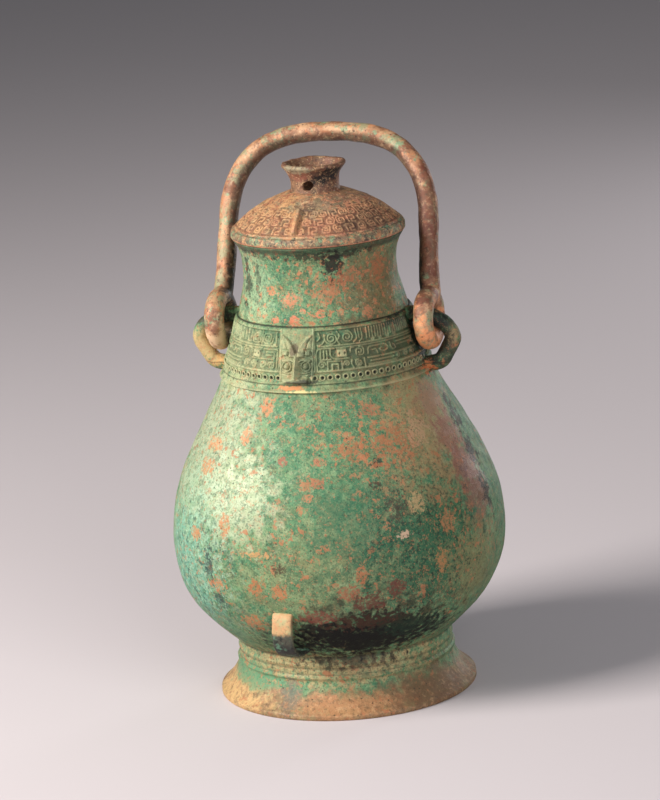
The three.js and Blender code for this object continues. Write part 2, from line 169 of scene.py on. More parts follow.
def makeCamera():
    data = bpy.data.cameras.new("photoCamera")
    data.lens = photo["lens"]
    camera = bpy.data.objects.new("photoCamera", data)
    bpy.context.scene.collection.objects.link(camera)
    turn = math.radians(photo["turn"])
    place = Vector((photo["distance"] * math.sin(turn), -photo["distance"] * math.cos(turn), photo["height"]))
    camera.matrix_world = (Matrix.Translation(place * mm) @ Matrix.Rotation(turn, 4, "Z")
                           @ Matrix.Rotation(math.radians(90 - photo["pitch"]), 4, "X")
                           @ Matrix.Rotation(math.radians(-photo["roll"]), 4, "Z"))
    bpy.context.scene.camera = camera


makeCamera()
print("camera ready")


# Shader groups

def tint(red, green, blue):
    # a colour as the eye reads it, 0 to 255, turned into light
    light = (((c / 255 + 0.055) / 1.055) ** 2.4 if c > 10 else c / 3295 for c in (red, green, blue))
    return (*light, 1)


def shaderGroup(name, inputs, outputs):
    tree = bpy.data.node_groups.new(name, "ShaderNodeTree")
    for label, kind, value in inputs:
        socket = tree.interface.new_socket(name=label, in_out="INPUT", socket_type=kind)
        if value is not None:
            socket.default_value = value
    for label, kind in outputs:
        tree.interface.new_socket(name=label, in_out="OUTPUT", socket_type=kind)
    return tree, tree.nodes.new("NodeGroupInput"), tree.nodes.new("NodeGroupOutput")


def node(tree, kind, sockets=None, **settings):
    made = tree.nodes.new(kind)
    for label, value in settings.items():
        setattr(made, label, value)
    for label, value in (sockets or {}).items():
        socket = made.inputs[label]
        if isinstance(value, bpy.types.NodeSocket):
            tree.links.new(value, socket)
        else:
            socket.default_value = value
    return made


def maths(tree, operation, a, b=0.0, clamp=False):
    return node(tree, "ShaderNodeMath", {0: a, 1: b}, operation=operation, use_clamp=clamp).outputs[0]


def noiseOf(tree, position, size, detail=3.0, roughness=0.55):
    spread = node(tree, "ShaderNodeMath", {0: 1.0, 1: size}, operation="DIVIDE").outputs[0]
    return node(tree, "ShaderNodeTexNoise", {"Vector": position, "Scale": spread, "Detail": detail,
                                             "Roughness": roughness}).outputs["Fac"]


def makePatchGroup():
    # a ragged spot: 1 inside the ellipsoid about Centre, 0 outside it
    tree, given, out = shaderGroup("patchMask", [
        ("Position", "NodeSocketVector", None), ("Centre", "NodeSocketVector", (0, 0, 0)),
        ("Reach", "NodeSocketVector", (10, 10, 10)), ("Ragged", "NodeSocketFloat", 0.5),
        ("Cloud", "NodeSocketFloat", 0.5), ("Soft", "NodeSocketFloat", 0.15)],
        [("Mask", "NodeSocketFloat")])
    away = node(tree, "ShaderNodeVectorMath", {0: given.outputs["Position"], 1: given.outputs["Centre"]},
                operation="SUBTRACT").outputs[0]
    share = node(tree, "ShaderNodeVectorMath", {0: away, 1: given.outputs["Reach"]},
                 operation="DIVIDE").outputs[0]
    length = node(tree, "ShaderNodeVectorMath", {0: share}, operation="LENGTH").outputs["Value"]
    wobble = maths(tree, "MULTIPLY", maths(tree, "SUBTRACT", given.outputs["Cloud"], 0.5),
                   maths(tree, "MULTIPLY", given.outputs["Ragged"], 4.0))
    edge = maths(tree, "ADD", length, wobble)
    inner = maths(tree, "SUBTRACT", 1.0, given.outputs["Soft"])
    outer = maths(tree, "ADD", 1.0, given.outputs["Soft"])
    mask = node(tree, "ShaderNodeMapRange", {"Value": edge, "From Min": outer, "From Max": inner},
                interpolation_type="SMOOTHSTEP").outputs["Result"]
    tree.links.new(mask, out.inputs["Mask"])
    return tree


def makeSpeckGroup():
    # scattered flecks of one size; a higher Level leaves fewer
    tree, given, out = shaderGroup("speckMask", [
        ("Position", "NodeSocketVector", None), ("Shift", "NodeSocketVector", (0, 0, 0)),
        ("Grain", "NodeSocketFloat", 4.0), ("Level", "NodeSocketFloat", 0.6),
        ("Soft", "NodeSocketFloat", 0.04)],
        [("Mask", "NodeSocketFloat")])
    moved = node(tree, "ShaderNodeVectorMath", {
        0: given.outputs["Position"], 1: given.outputs["Shift"]}).outputs[0]
    cloud = noiseOf(tree, moved, given.outputs["Grain"], 5, 0.68)
    low = maths(tree, "SUBTRACT", given.outputs["Level"], given.outputs["Soft"])
    high = maths(tree, "ADD", given.outputs["Level"], given.outputs["Soft"])
    mask = node(tree, "ShaderNodeMapRange", {"Value": cloud, "From Min": low, "From Max": high},
                interpolation_type="SMOOTHSTEP").outputs["Result"]
    tree.links.new(mask, out.inputs["Mask"])
    return tree


def makeSkinGroup():
    # the cast and corroded skin: lumps, grain and small pits
    tree, given, out = shaderGroup("castSkin", [
        ("Position", "NodeSocketVector", None), ("Lumps", "NodeSocketFloat", 5.0),
        ("Grain", "NodeSocketFloat", 1.1), ("Pits", "NodeSocketFloat", 3.2)],
        [("Height", "NodeSocketFloat"), ("Pit", "NodeSocketFloat")])
    place = given.outputs["Position"]
    lumps = noiseOf(tree, place, given.outputs["Lumps"], 3, 0.5)
    fine = noiseOf(tree, place, given.outputs["Grain"], 4, 0.7)
    spread = maths(tree, "DIVIDE", 1.0, given.outputs["Pits"])
    cell = node(tree, "ShaderNodeTexVoronoi", {"Vector": place, "Scale": spread, "Randomness": 1.0})
    hole = node(tree, "ShaderNodeMapRange", {
        "Value": cell.outputs["Distance"], "From Min": 0.22, "From Max": 0.1},
        interpolation_type="SMOOTHSTEP").outputs["Result"]
    chosen = maths(tree, "GREATER_THAN", cell.outputs["Color"], 0.72)
    pit = maths(tree, "MULTIPLY", hole, chosen)
    height = maths(tree, "ADD", maths(tree, "MULTIPLY", lumps, 0.7), maths(tree, "MULTIPLY", fine, 0.45))
    height = maths(tree, "SUBTRACT", height, maths(tree, "MULTIPLY", pit, 0.3))
    tree.links.new(height, out.inputs["Height"])
    tree.links.new(pit, out.inputs["Pit"])
    return tree


patchGroup, speckGroup, skinGroup = makePatchGroup(), makeSpeckGroup(), makeSkinGroup()


class Patina:
    # one bronze material, painted layer on layer over its ground colour
    def __init__(self, name, ground, roughness, metallic):
        self.material = bpy.data.materials.new(name)
        self.material.use_nodes = True
        self.tree = self.material.node_tree
        self.shader = self.tree.nodes["Principled BSDF"]
        self.shader.inputs["Metallic"].default_value = metallic
        coordinates = self.tree.nodes.new("ShaderNodeTexCoord")
        scale = node(self.tree, "ShaderNodeMapping", {"Vector": coordinates.outputs["Object"],
                                                      "Scale": (1000, 1000, 1000)})
        self.position = scale.outputs[0]
        self.clouds = {}
        self.roughness = node(self.tree, "ShaderNodeMapRange", {
            "Value": noiseOf(self.tree, self.position, 7, 4, 0.6), "From Min": 0.3, "From Max": 0.7,
            "To Min": roughness - 0.1, "To Max": roughness + 0.12}).outputs["Result"]
        self.colour = node(self.tree, "ShaderNodeRGB").outputs[0]
        self.colour.default_value = tint(*ground)

    def over(self, mask, colour, amount=1.0):
        factor = maths(self.tree, "MULTIPLY", mask, amount, clamp=True)
        mix = node(self.tree, "ShaderNodeMix", data_type="RGBA")
        self.tree.links.new(factor, mix.inputs[0])
        self.tree.links.new(self.colour, mix.inputs[6])
        if isinstance(colour, bpy.types.NodeSocket):
            self.tree.links.new(colour, mix.inputs[7])
        else:
            mix.inputs[7].default_value = tint(*colour)
        self.colour = mix.outputs[2]
        return factor

    def gloss(self, mask, roughness):
        mix = node(self.tree, "ShaderNodeMix", data_type="FLOAT")
        self.tree.links.new(mask, mix.inputs[0])
        self.tree.links.new(self.roughness, mix.inputs[2])
        mix.inputs[3].default_value = roughness
        self.roughness = mix.outputs[0]

    def speckMask(self, grain, level, shift=0, soft=0.04):
        made = node(self.tree, "ShaderNodeGroup", node_tree=speckGroup)
        self.tree.links.new(self.position, made.inputs["Position"])
        made.inputs["Shift"].default_value = (shift, 2.3 * shift, -1.7 * shift)
        for label, value in (("Grain", grain), ("Level", level), ("Soft", soft)):
            made.inputs[label].default_value = value
        return made.outputs["Mask"]

    def specks(self, colour, grain, level, shift=0, soft=0.04, amount=1.0, within=None):
        mask = self.speckMask(grain, level, shift, soft)
        if within is not None:
            mask = maths(self.tree, "MULTIPLY", mask, within)
        return self.over(mask, colour, amount)

    def cloud(self, grain):
        if grain not in self.clouds:
            self.clouds[grain] = noiseOf(self.tree, self.position, grain, 4, 0.62)
        return self.clouds[grain]

    def patchMask(self, centre, reach, ragged=0.5, grain=6, soft=0.15):
        made = node(self.tree, "ShaderNodeGroup", node_tree=patchGroup)
        self.tree.links.new(self.position, made.inputs["Position"])
        self.tree.links.new(self.cloud(grain), made.inputs["Cloud"])
        made.inputs["Centre"].default_value = centre
        made.inputs["Reach"].default_value = reach
        for label, value in (("Ragged", ragged), ("Soft", soft)):
            made.inputs[label].default_value = value
        return made.outputs["Mask"]

    def patch(self, colour, centre, reach, ragged=0.5, grain=6, soft=0.15, amount=1.0, within=None):
        mask = self.patchMask(centre, reach, ragged, grain, soft)
        if within is not None:
            mask = maths(self.tree, "MULTIPLY", mask, within)
        return self.over(mask, colour, amount)

    def attribute(self, label):
        return node(self.tree, "ShaderNodeAttribute", attribute_name=label).outputs["Fac"]

    def between(self, low, high, soft, ragged=0.0, grain=8):
        # 1 between two heights, with a ragged edge
        height = node(self.tree, "ShaderNodeSeparateXYZ", {0: self.position}).outputs["Z"]
        cloud = maths(self.tree, "SUBTRACT", noiseOf(self.tree, self.position, grain, 4, 0.6), 0.5)
        height = maths(self.tree, "ADD", height, maths(self.tree, "MULTIPLY", cloud, 4 * ragged))
        rise, fall = [node(self.tree, "ShaderNodeMapRange", {
            "Value": height, "From Min": none, "From Max": full},
            interpolation_type="SMOOTHSTEP").outputs["Result"]
            for none, full in ((low - soft, low + soft), (high + soft, high - soft))]
        return maths(self.tree, "MULTIPLY", rise, fall)

    def finish(self, lumps=5.0, grain=1.1, pits=3.2, depth=0.5, pitColour=(34, 40, 32)):
        skin = node(self.tree, "ShaderNodeGroup", node_tree=skinGroup)
        self.tree.links.new(self.position, skin.inputs["Position"])
        for label, value in (("Lumps", lumps), ("Grain", grain), ("Pits", pits)):
            skin.inputs[label].default_value = value
        self.over(skin.outputs["Pit"], pitColour, 0.75)
        relief = node(self.tree, "ShaderNodeBump", {"Strength": 0.9, "Distance": depth * mm,
                                                    "Height": skin.outputs["Height"]})
        self.tree.links.new(relief.outputs["Normal"], self.shader.inputs["Normal"])
        self.tree.links.new(self.colour, self.shader.inputs["Base Color"])
        self.tree.links.new(self.roughness, self.shader.inputs["Roughness"])
        return self.material


palePatches = [
    # colour, centre, reach, ragged, grain, soft, amount
    ((190, 194, 164), (-66, -56, 172), (40, 44, 44), 0.7, 8, 0.5, 0.62),        # pale shoulder on the left
    ((202, 208, 176), (-36, -86, 142), (26, 24, 24), 0.9, 6, 0.5, 0.6),        # whitish bloom
    ((146, 184, 154), (-72, -66, 118), (36, 34, 40), 0.8, 6, 0.5, 0.5),
    ((92, 162, 144), (-76, -68, 92), (32, 34, 34), 0.9, 6, 0.4, 0.58),         # turquoise, lower left
    ((160, 184, 146), (-34, -36, 264), (18, 20, 24), 0.7, 6, 0.5, 0.55),        # left of the neck
    ((178, 180, 136), (-46, -44, 224), (30, 30, 20), 0.8, 6, 0.5, 0.66),        # left of the band
    ((150, 130, 88), (20, -66, 224), (60, 40, 18), 1.2, 4, 0.4, 0.4),          # olive veil over the band
    ((136, 122, 84), (30, -96, 96), (70, 40, 40), 1.3, 6, 0.4, 0.35),          # and low on the belly
    ((186, 152, 108), (0, -76, 30), (84, 84, 10), 1.1, 4, 0.4, 0.62),            # and on the collar
]

darkPatches = [
    ((10, 80, 54), (76, -60, 108), (34, 38, 34), 0.9, 8, 0.5, 0.8),           # emerald, lower right
    ((22, 88, 62), (40, -88, 130), (28, 24, 28), 1.0, 8, 0.5, 0.5),
    ((170, 136, 96), (72, -40, 180), (24, 34, 40), 0.9, 8, 0.5, 0.62),          # brown right shoulder
    ((142, 104, 80), (71, -20, 190), (8, 14, 13), 1.0, 6, 0.4, 0.75),            # red-brown right edge
    ((136, 92, 74), (82, -21, 169), (9, 13, 15), 0.9, 6, 0.4, 0.85),
    ((128, 84, 68), (91, -22, 150), (9, 13, 15), 0.9, 6, 0.4, 0.85),
    ((118, 78, 62), (97, -22, 130), (8, 12, 15), 1.0, 6, 0.4, 0.85),
    ((28, 23, 19), (79, -1, 177), (9, 5, 9), 1.7, 4, 0.35, 0.8),
    ((22, 18, 16), (91, -5, 153), (7, 6, 11), 1.6, 4, 0.35, 0.85),
    ((24, 20, 17), (99, -9, 130), (5, 4.5, 13), 1.7, 4, 0.35, 0.8),
    ((128, 122, 82), (98, -34, 88), (18, 26, 26), 0.9, 6, 0.5, 0.6),
    ((116, 92, 60), (42, -24, 263), (20, 28, 28), 0.8, 6, 0.5, 0.74),           # brown right side of the neck
    ((80, 70, 48), (44, -48, 226), (22, 22, 17), 1.0, 6, 0.5, 0.6),
    ((72, 62, 44), (58, -18, 228), (8, 13, 20), 0.8, 6, 0.5, 0.7),             # black towards the right ear
    ((14, 13, 12), (64, -4, 228), (10, 11, 22), 0.6, 4, 0.4, 0.96),
    ((12, 12, 11), (54, -21, 239.5), (13, 14, 3), 0.9, 4, 0.3, 0.9),
    ((40, 44, 36), (78, 0, 222), (14, 12, 22), 0.7, 4, 0.4, 0.85),             # the two ears
    # painted highlight on the right ear's outer edge
    ((150, 128, 92), (84, -4, 226), (4, 8, 8), 0.9, 4, 0.4, 0.7),
    ((190, 160, 112), (-76, -4, 219), (14, 14, 12), 0.8, 4, 0.4, 0.8),
    ((50, 48, 40), (-72, 0, 238), (16, 10, 7), 0.7, 4, 0.4, 0.85),
]

# soot and black patches, with painted shade beside the small loop and just under the mouth's rim
sootAndShadePatches = [
    ((46, 42, 30), (44, -80, 60), (50, 40, 18), 1.2, 6, 0.5, 0.72),            # black-brown below the belly
    ((10, 9, 7), (38, -76, 52), (46, 34, 13), 1.1, 4, 0.4, 0.97),
    ((11, 10, 8), (24, -90, 57), (18, 20, 10), 1.0, 4, 0.35, 0.95),
    ((14, 14, 11), (48, -82, 66), (20, 20, 7), 1.4, 3, 0.35, 0.8),
    ((74, 44, 32), (44, -86, 66), (26, 20, 4), 1.6, 3, 0.3, 0.55),
    ((22, 44, 31), (62, -66, 60), (16, 18, 7), 1.3, 3, 0.3, 0.7),
    ((20, 26, 18), (72, -50, 52), (12, 18, 7), 1.3, 4, 0.35, 0.75),
    ((26, 23, 18), (30, -66, 34), (30, 16, 5), 1.2, 4, 0.35, 0.7),
    ((13, 11, 9), (8, -98, 64), (6, 12, 5), 0.9, 3, 0.3, 0.8),                 # shade beside the small loop
    ((20, 17, 14), (22, -42, 280), (4.6, 9, 8), 1.3, 3, 0.3, 0.9),     # black on the neck
    # painted shade just under the mouth's rim
    ((24, 20, 16), (20, -44, 285), (28, 16, 2), 1.5, 3, 0.3, 0.75),
    ((34, 38, 32), (-37, -30, 264), (3, 5, 17), 1.2, 3, 0.3, 0.75),
    ((44, 44, 36), (-28, -38, 268), (2, 5, 12), 1.3, 3, 0.3, 0.55),
]

maskPatches = [
    ((50, 72, 52), (8.5, -66, 225), (7, 10, 14), 0.5, 4, 0.35, 0.66),          # painted shade on the right half, pale left half
    # painted shade on the left horn's inner edge
    ((70, 50, 42), (-1.5, -62, 230), (3, 6, 5), 0.5, 4, 0.35, 0.7),
    # painted shade under the snout's ledge
    ((46, 44, 38), (5, -72, 211), (12, 9, 2), 0.4, 4, 0.3, 0.85),
    ((186, 120, 74), (-3, -70, 207.4), (9, 10, 1.8), 0.6, 2.5, 0.2, 0.9),
    ((212, 196, 138), (3, -71, 205.2), (9, 10, 1), 0.6, 2.5, 0.2, 0.8),
]

spots = [
    # rust, bare and dark spots: colour, centre, reach, ragged, grain, soft
    ((186, 118, 78), (-18, -67, 196), (5, 7, 7), 0.6, 2.5, 0.12),
    ((188, 122, 82), (-32, -72, 178), (4, 6, 8), 0.6, 2.5, 0.12),
    ((190, 130, 88), (-56, -61, 171), (10, 10, 5), 0.9, 3, 0.14),
    ((150, 78, 62), (-5, -85, 166), (3.5, 5, 3.5), 0.4, 2.5, 0.12),
    ((160, 96, 68), (17, -84, 166), (4, 5, 3.5), 0.5, 2.5, 0.1),
    ((164, 104, 70), (11, -91, 153), (6, 5, 4), 0.9, 2.5, 0.1),
    ((160, 92, 66), (18, -90, 154), (4.5, 5, 4), 0.5, 2.5, 0.1),
    ((168, 108, 74), (12, -94, 146), (4, 5, 3), 0.5, 2.5, 0.1),
    ((46, 24, 20), (50, -78, 151), (4, 5, 3.4), 0.5, 2.5, 0.1),
    ((30, 34, 34), (50, -71, 163), (4, 5, 3.2), 0.6, 2.5, 0.1),
    ((160, 100, 66), (37, -74, 172), (12, 12, 9), 1.2, 4, 0.12),
    ((164, 102, 68), (55, -62, 172), (16, 16, 12), 1.3, 4, 0.12),
    ((160, 100, 72), (42, -57, 192), (6, 8, 4), 0.7, 2.5, 0.12),
    ((176, 146, 104), (72, -67, 137), (6, 6, 7), 0.9, 2.5, 0.1),
    ((206, 172, 146), (66, -78, 120), (5, 6, 2.6), 0.8, 2.5, 0.1),
    ((60, 50, 40), (62, -76, 134), (6, 7, 12), 1.1, 2.5, 0.15),
    ((166, 100, 66), (43, -95, 98), (3.5, 5, 8), 0.5, 2.5, 0.1),
    ((150, 86, 62), (35, -97, 88), (8, 7, 6), 0.8, 2.5, 0.1),
    ((92, 38, 32), (46, -91, 81), (12, 11, 7), 0.9, 4, 0.1),
    ((98, 42, 36), (61, -83, 88), (7, 8, 6.5), 0.4, 2.5, 0.1),
    ((176, 110, 68), (-43, -91, 127), (5, 6, 9), 0.6, 2.5, 0.12),
    ((184, 122, 78), (-60, -66, 158), (8, 8, 5), 0.8, 2.5, 0.12),
    ((182, 120, 76), (-66, -79, 119), (6, 7, 5), 0.9, 2.5, 0.12),
    ((184, 136, 88), (-22, -101, 112), (12, 6, 2.2), 1.2, 2.5, 0.12),
    ((58, 40, 30), (-7, -104, 104), (5, 5, 4), 0.8, 2.5, 0.12),
    ((176, 106, 68), (-7, -103, 89), (6, 5, 5), 0.8, 2.5, 0.1),
    ((30, 48, 50), (-56, -88, 101), (3.6, 7, 13), 0.9, 4, 0.15),
    ((34, 50, 52), (-51, -87, 79), (5, 7, 6), 1.1, 2.5, 0.15),
    ((170, 100, 62), (-24, -101, 91), (7, 6, 5), 1.1, 2.5, 0.1),
    ((178, 112, 72), (-50, -86, 90), (7, 8, 6), 1.2, 2.5, 0.1),
    ((118, 62, 50), (14, -96, 72), (13, 14, 5.5), 0.5, 3, 0.15),
    ((170, 104, 64), (-30, -92, 66), (9, 10, 6), 1.2, 2.5, 0.12),
    ((170, 118, 74), (84, -61, 99), (4, 5, 9), 1.0, 2.5, 0.12),
    ((166, 112, 74), (86, -52, 122), (6, 8, 9), 1.3, 2.5, 0.12),
    ((176, 140, 108), (70, -44, 180), (8, 10, 14), 1.3, 4, 0.15),
    ((92, 58, 50), (93, -26, 152), (4, 8, 12), 0.8, 4, 0.2),
    ((190, 108, 78), (-2, -53, 246), (4, 6, 4.2), 0.35, 2.5, 0.1),
    ((194, 116, 84), (14, -49, 250), (3.8, 6, 3), 0.35, 2.5, 0.1),
    ((194, 122, 90), (3, -51, 252), (2.3, 4, 2), 0.35, 2.5, 0.1),
    ((186, 112, 82), (-15, -51, 246), (3.4, 5, 2), 0.3, 2.5, 0.1),
    ((182, 112, 80), (-5, -49, 258), (7, 6, 4), 0.9, 2.5, 0.1),
    ((184, 116, 80), (-18, -44, 264), (5, 6, 3.4), 0.7, 2.5, 0.1),
    ((176, 112, 78), (39, -34, 248), (4, 6, 4), 0.5, 2.5, 0.1),
    ((164, 104, 70), (16, -46, 263), (11, 9, 7), 1.3, 3, 0.2),
    ((158, 98, 66), (30, -37, 270), (9, 10, 7), 1.3, 3, 0.2),
    ((156, 94, 62), (44, -22, 272), (6, 9, 10), 1.2, 3, 0.2),
        # painted shade just under the mouth's rim
        ((44, 38, 30), (-30, -38, 286), (16, 16, 2), 1.0, 2.5, 0.2),
    ((200, 112, 66), (65, -3, 206), (7, 9, 5), 0.8, 2.5, 0.15),
    ((196, 152, 96), (-66, -8, 209), (9, 12, 6), 0.7, 2.5, 0.2),
    ((26, 24, 22), (72, 0, 217), (9, 9, 9), 0.7, 4, 0.35),
    ((20, 20, 19), (70, -2, 236), (12, 9, 7), 0.5, 4, 0.3),
    ((30, 34, 30), (80, 0, 226), (6, 9, 12), 0.8, 4, 0.4),
    ((26, 24, 22), (-64, 0, 236), (9, 8, 9), 0.6, 4, 0.35),
]


def makeVesselMaterial():
    patina = Patina("vesselPatina", (78, 122, 86), 0.56, 0.1)
    patina.specks((108, 142, 98), 24, 0.5, 3, 0.1, 0.6)               # broad light and deep clouds
    patina.specks((30, 98, 68), 18, 0.53, 11, 0.07, 0.65)
    patina.specks((116, 106, 70), 13, 0.56, 51, 0.07, 0.45)
    for colour, centre, reach, ragged, grain, soft, amount in palePatches:
        patina.patch(colour, centre, reach, ragged, grain, soft, amount)
    patina.specks((142, 160, 118), 5, 0.55, 21, 0.06, 0.35)           # mottling, from coarse to fine
    patina.specks((30, 82, 58), 4.2, 0.555, 31, 0.05, 0.45)
    patina.specks((154, 168, 128), 1.5, 0.575, 77, 0.05, 0.3)
    patina.specks((28, 56, 42), 1.3, 0.575, 87, 0.045, 0.58)
    tan = patina.between(-5, 14, 4, 5, 8)                             # the foot is tan below and green above
    patina.over(tan, (140, 98, 70), 0.8)
    patina.specks((128, 128, 88), 9, 0.52, 83, 0.06, 0.45, tan)
    patina.patch((204, 166, 114), (-62, -48, 6), (34, 36, 11), 0.8, 6, 0.5, 0.75)
    patina.patch((84, 132, 98), (-52, -52, 20), (26, 26, 9), 1.0, 6, 0.4, 0.8)
    patina.patch((92, 92, 84), (-16, -74, 12), (7, 10, 13), 0.8, 4, 0.4, 0.7)
    patina.patch((172, 122, 82), (24, -74, 7), (34, 20, 6), 0.8, 4, 0.5, 0.65)
    patina.patch((104, 76, 56), (66, -40, 10), (26, 34, 14), 0.7, 6, 0.5, 0.75)
    patina.specks((102, 80, 56), 3, 0.56, 95, 0.05, 0.55, tan)
    patina.specks((208, 166, 124), 3, 0.57, 97, 0.07, 0.28, tan)
    for colour, centre, reach, ragged, grain, soft, amount in darkPatches:
        patina.patch(colour, centre, reach, ragged, grain, soft, amount)
    left = patina.patchMask((-66, -76, 96), (34, 40, 40), 0.5, 8, 0.5)
    patina.specks((168, 196, 170), 3.4, 0.57, 101, 0.05, 0.46, left)
    patina.specks((28, 62, 58), 3.6, 0.58, 107, 0.04, 0.76, left)
    right = patina.patchMask((72, -62, 108), (46, 44, 56), 0.5, 8, 0.5)
    patina.specks((14, 42, 32), 2.4, 0.56, 113, 0.05, 0.78, right)
    patina.specks((160, 124, 82), 1.5, 0.59, 119, 0.04, 0.5, right)
    crowd = patina.speckMask(30, 0.47, 131, 0.1)                      # where the rust spots crowd
    patina.specks((164, 104, 70), 6, 0.61, 43, 0.015, 0.75, crowd)
    patina.specks((168, 110, 76), 2.8, 0.605, 57, 0.02, 0.7, crowd)
    patina.specks((160, 112, 80), 1.6, 0.64, 67, 0.02, 0.7)
    field = patina.patchMask((50, -66, 176), (34, 30, 26), 0.8, 8, 0.5)
    patina.specks((58, 112, 82), 2.6, 0.53, 151, 0.03, 0.6, field)
    patina.specks((176, 116, 80), 3.6, 0.56, 157, 0.02, 0.75, field)
    patina.specks((40, 62, 48), 1.8, 0.6, 163, 0.03, 0.7, field)
    neck = patina.between(243, 292, 1, 0, 8)
    patina.specks((186, 196, 158), 2.2, 0.6, 167, 0.04, 0.22, neck)
    patina.specks((34, 70, 56), 3, 0.575, 171, 0.06, 0.5, neck)
    patina.specks((182, 116, 80), 4, 0.585, 173, 0.015, 0.7, neck)
    for colour, centre, reach, ragged, grain, soft, amount in sootAndShadePatches:
        patina.patch(colour, centre, reach, ragged, grain, soft, amount)
    broken = patina.speckMask(1.9, 0.46, 141, 0.08)
    for colour, centre, reach, ragged, grain, soft in spots:
        patina.patch(colour, centre, tuple(0.85 * r for r in reach), ragged, grain, soft, 0.78, broken)
    patina.specks((22, 26, 20), 1.1, 0.62, 93, 0.03, 0.6)
    for low, high, soft, amount in ((35.4, 37, 0.6, 0.5), (28.4, 29.6, 0.5, 0.4), (24.8, 25.6, 0.4, 0.35),
                                    (208.5, 209.1, 0.3, 0.6), (286.5, 291, 1.2, 0.66)):
        patina.over(patina.between(low, high, soft, 0.5, 4), (26, 26, 20), amount)   # painted shade in the cast lines, at the foot's joints and under the lid
    patina.over(patina.attribute("hollow"), (40, 68, 48), 0.5)
    # near-black painted shade in the band's top groove and inside the rings
    patina.over(patina.attribute("grooveShade"), (12, 13, 10), 0.95)
    patina.over(patina.attribute("worn"), (182, 176, 136), 0.42)
    # painted shade on the mask, then rust and a pale line below it
    for colour, centre, reach, ragged, grain, soft, amount in maskPatches:
        patina.patch(colour, centre, reach, ragged, grain, soft, amount)
    patina.gloss(patina.patchMask((97, -16, 136), (9, 12, 26), 0.3, 8, 0.5), 0.34)
    patina.gloss(patina.patchMask((40, -80, 56), (54, 46, 17), 0.5, 6, 0.4), 0.95)
    patina.shader.inputs["Specular IOR Level"].default_value = 0.34
    return patina.finish(6, 1.0, 3.0, 0.8)


def makeLidMaterial():
    patina = Patina("lidPatina", (170, 120, 84), 0.62, 0.08)
    patina.specks((196, 152, 104), 14, 0.5, 5, 0.1, 0.7)
    patina.specks((146, 82, 60), 7, 0.54, 15, 0.05, 0.65)
    patina.specks((124, 118, 88), 5, 0.565, 25, 0.04, 0.65)
    patina.patch((184, 118, 94), (32, -30, 304), (28, 30, 14), 0.9, 6, 0.4, 0.65)
    patina.patch((112, 112, 92), (12, -34, 313), (20, 18, 5), 1.1, 4, 0.35, 0.65)
    patina.patch((60, 56, 44), (42, -26, 303), (14, 20, 8), 1.3, 4, 0.3, 0.7)
    patina.patch((84, 80, 62), (26, -14, 316), (16, 16, 4), 1.2, 4, 0.3, 0.5)
    patina.specks((92, 58, 44), 3, 0.57, 49, 0.04, 0.6)
    rim = patina.between(289, 297.2, 1.0, 1.0, 8)
    patina.over(rim, (100, 94, 74), 0.75)
    patina.specks((104, 142, 108), 5, 0.54, 35, 0.05, 0.75, rim)
    patina.specks((188, 130, 88), 4, 0.56, 39, 0.04, 0.75, rim)
    patina.specks((44, 40, 38), 3.4, 0.58, 41, 0.04, 0.8, rim)
    patina.over(patina.between(289, 291.8, 0.4, 0.3, 6), (176, 112, 84), 0.8)
    patina.over(patina.between(317.5, 340, 1, 1, 6), (82, 50, 38), 0.74)
    patina.patch((66, 42, 32), (10, -14, 327), (12, 10, 6), 0.9, 3, 0.4, 0.8)      # soot on the knob
    patina.patch((14, 11, 10), (8, -14, 325.5), (6, 9, 3), 0.9, 3, 0.25, 0.96)
    patina.patch((14, 11, 10), (15, -10, 329), (7, 9, 3.6), 0.9, 3, 0.25, 0.96)
    patina.patch((126, 70, 52), (-6, -16, 329), (8, 8, 4), 0.8, 3, 0.3, 0.6)
    patina.patch((142, 136, 110), (-8, -14, 332.5), (12, 12, 2.4), 0.8, 3, 0.3, 0.75)
    patina.patch((84, 62, 52), (5, -31, 311), (5, 5, 3), 0.6, 3, 0.35, 0.7)
    patina.patch((70, 56, 46), (32, -36, 302), (7, 7, 3), 1.2, 3, 0.3, 0.7)
    patina.specks((202, 170, 126), 1.8, 0.61, 45, 0.04, 0.6)
    patina.specks((74, 54, 42), 1.6, 0.62, 55, 0.04, 0.65)
    patina.specks((60, 40, 32), 2.2, 0.585, 61, 0.03, 0.65)
    patina.specks((224, 184, 138), 2.6, 0.6, 63, 0.04, 0.34)
    patina.over(patina.attribute("hollow"), (74, 46, 34), 0.55)
    patina.over(patina.attribute("worn"), (200, 156, 112), 0.25)
    return patina.finish(5, 0.9, 3.0, 0.65, (50, 34, 26))


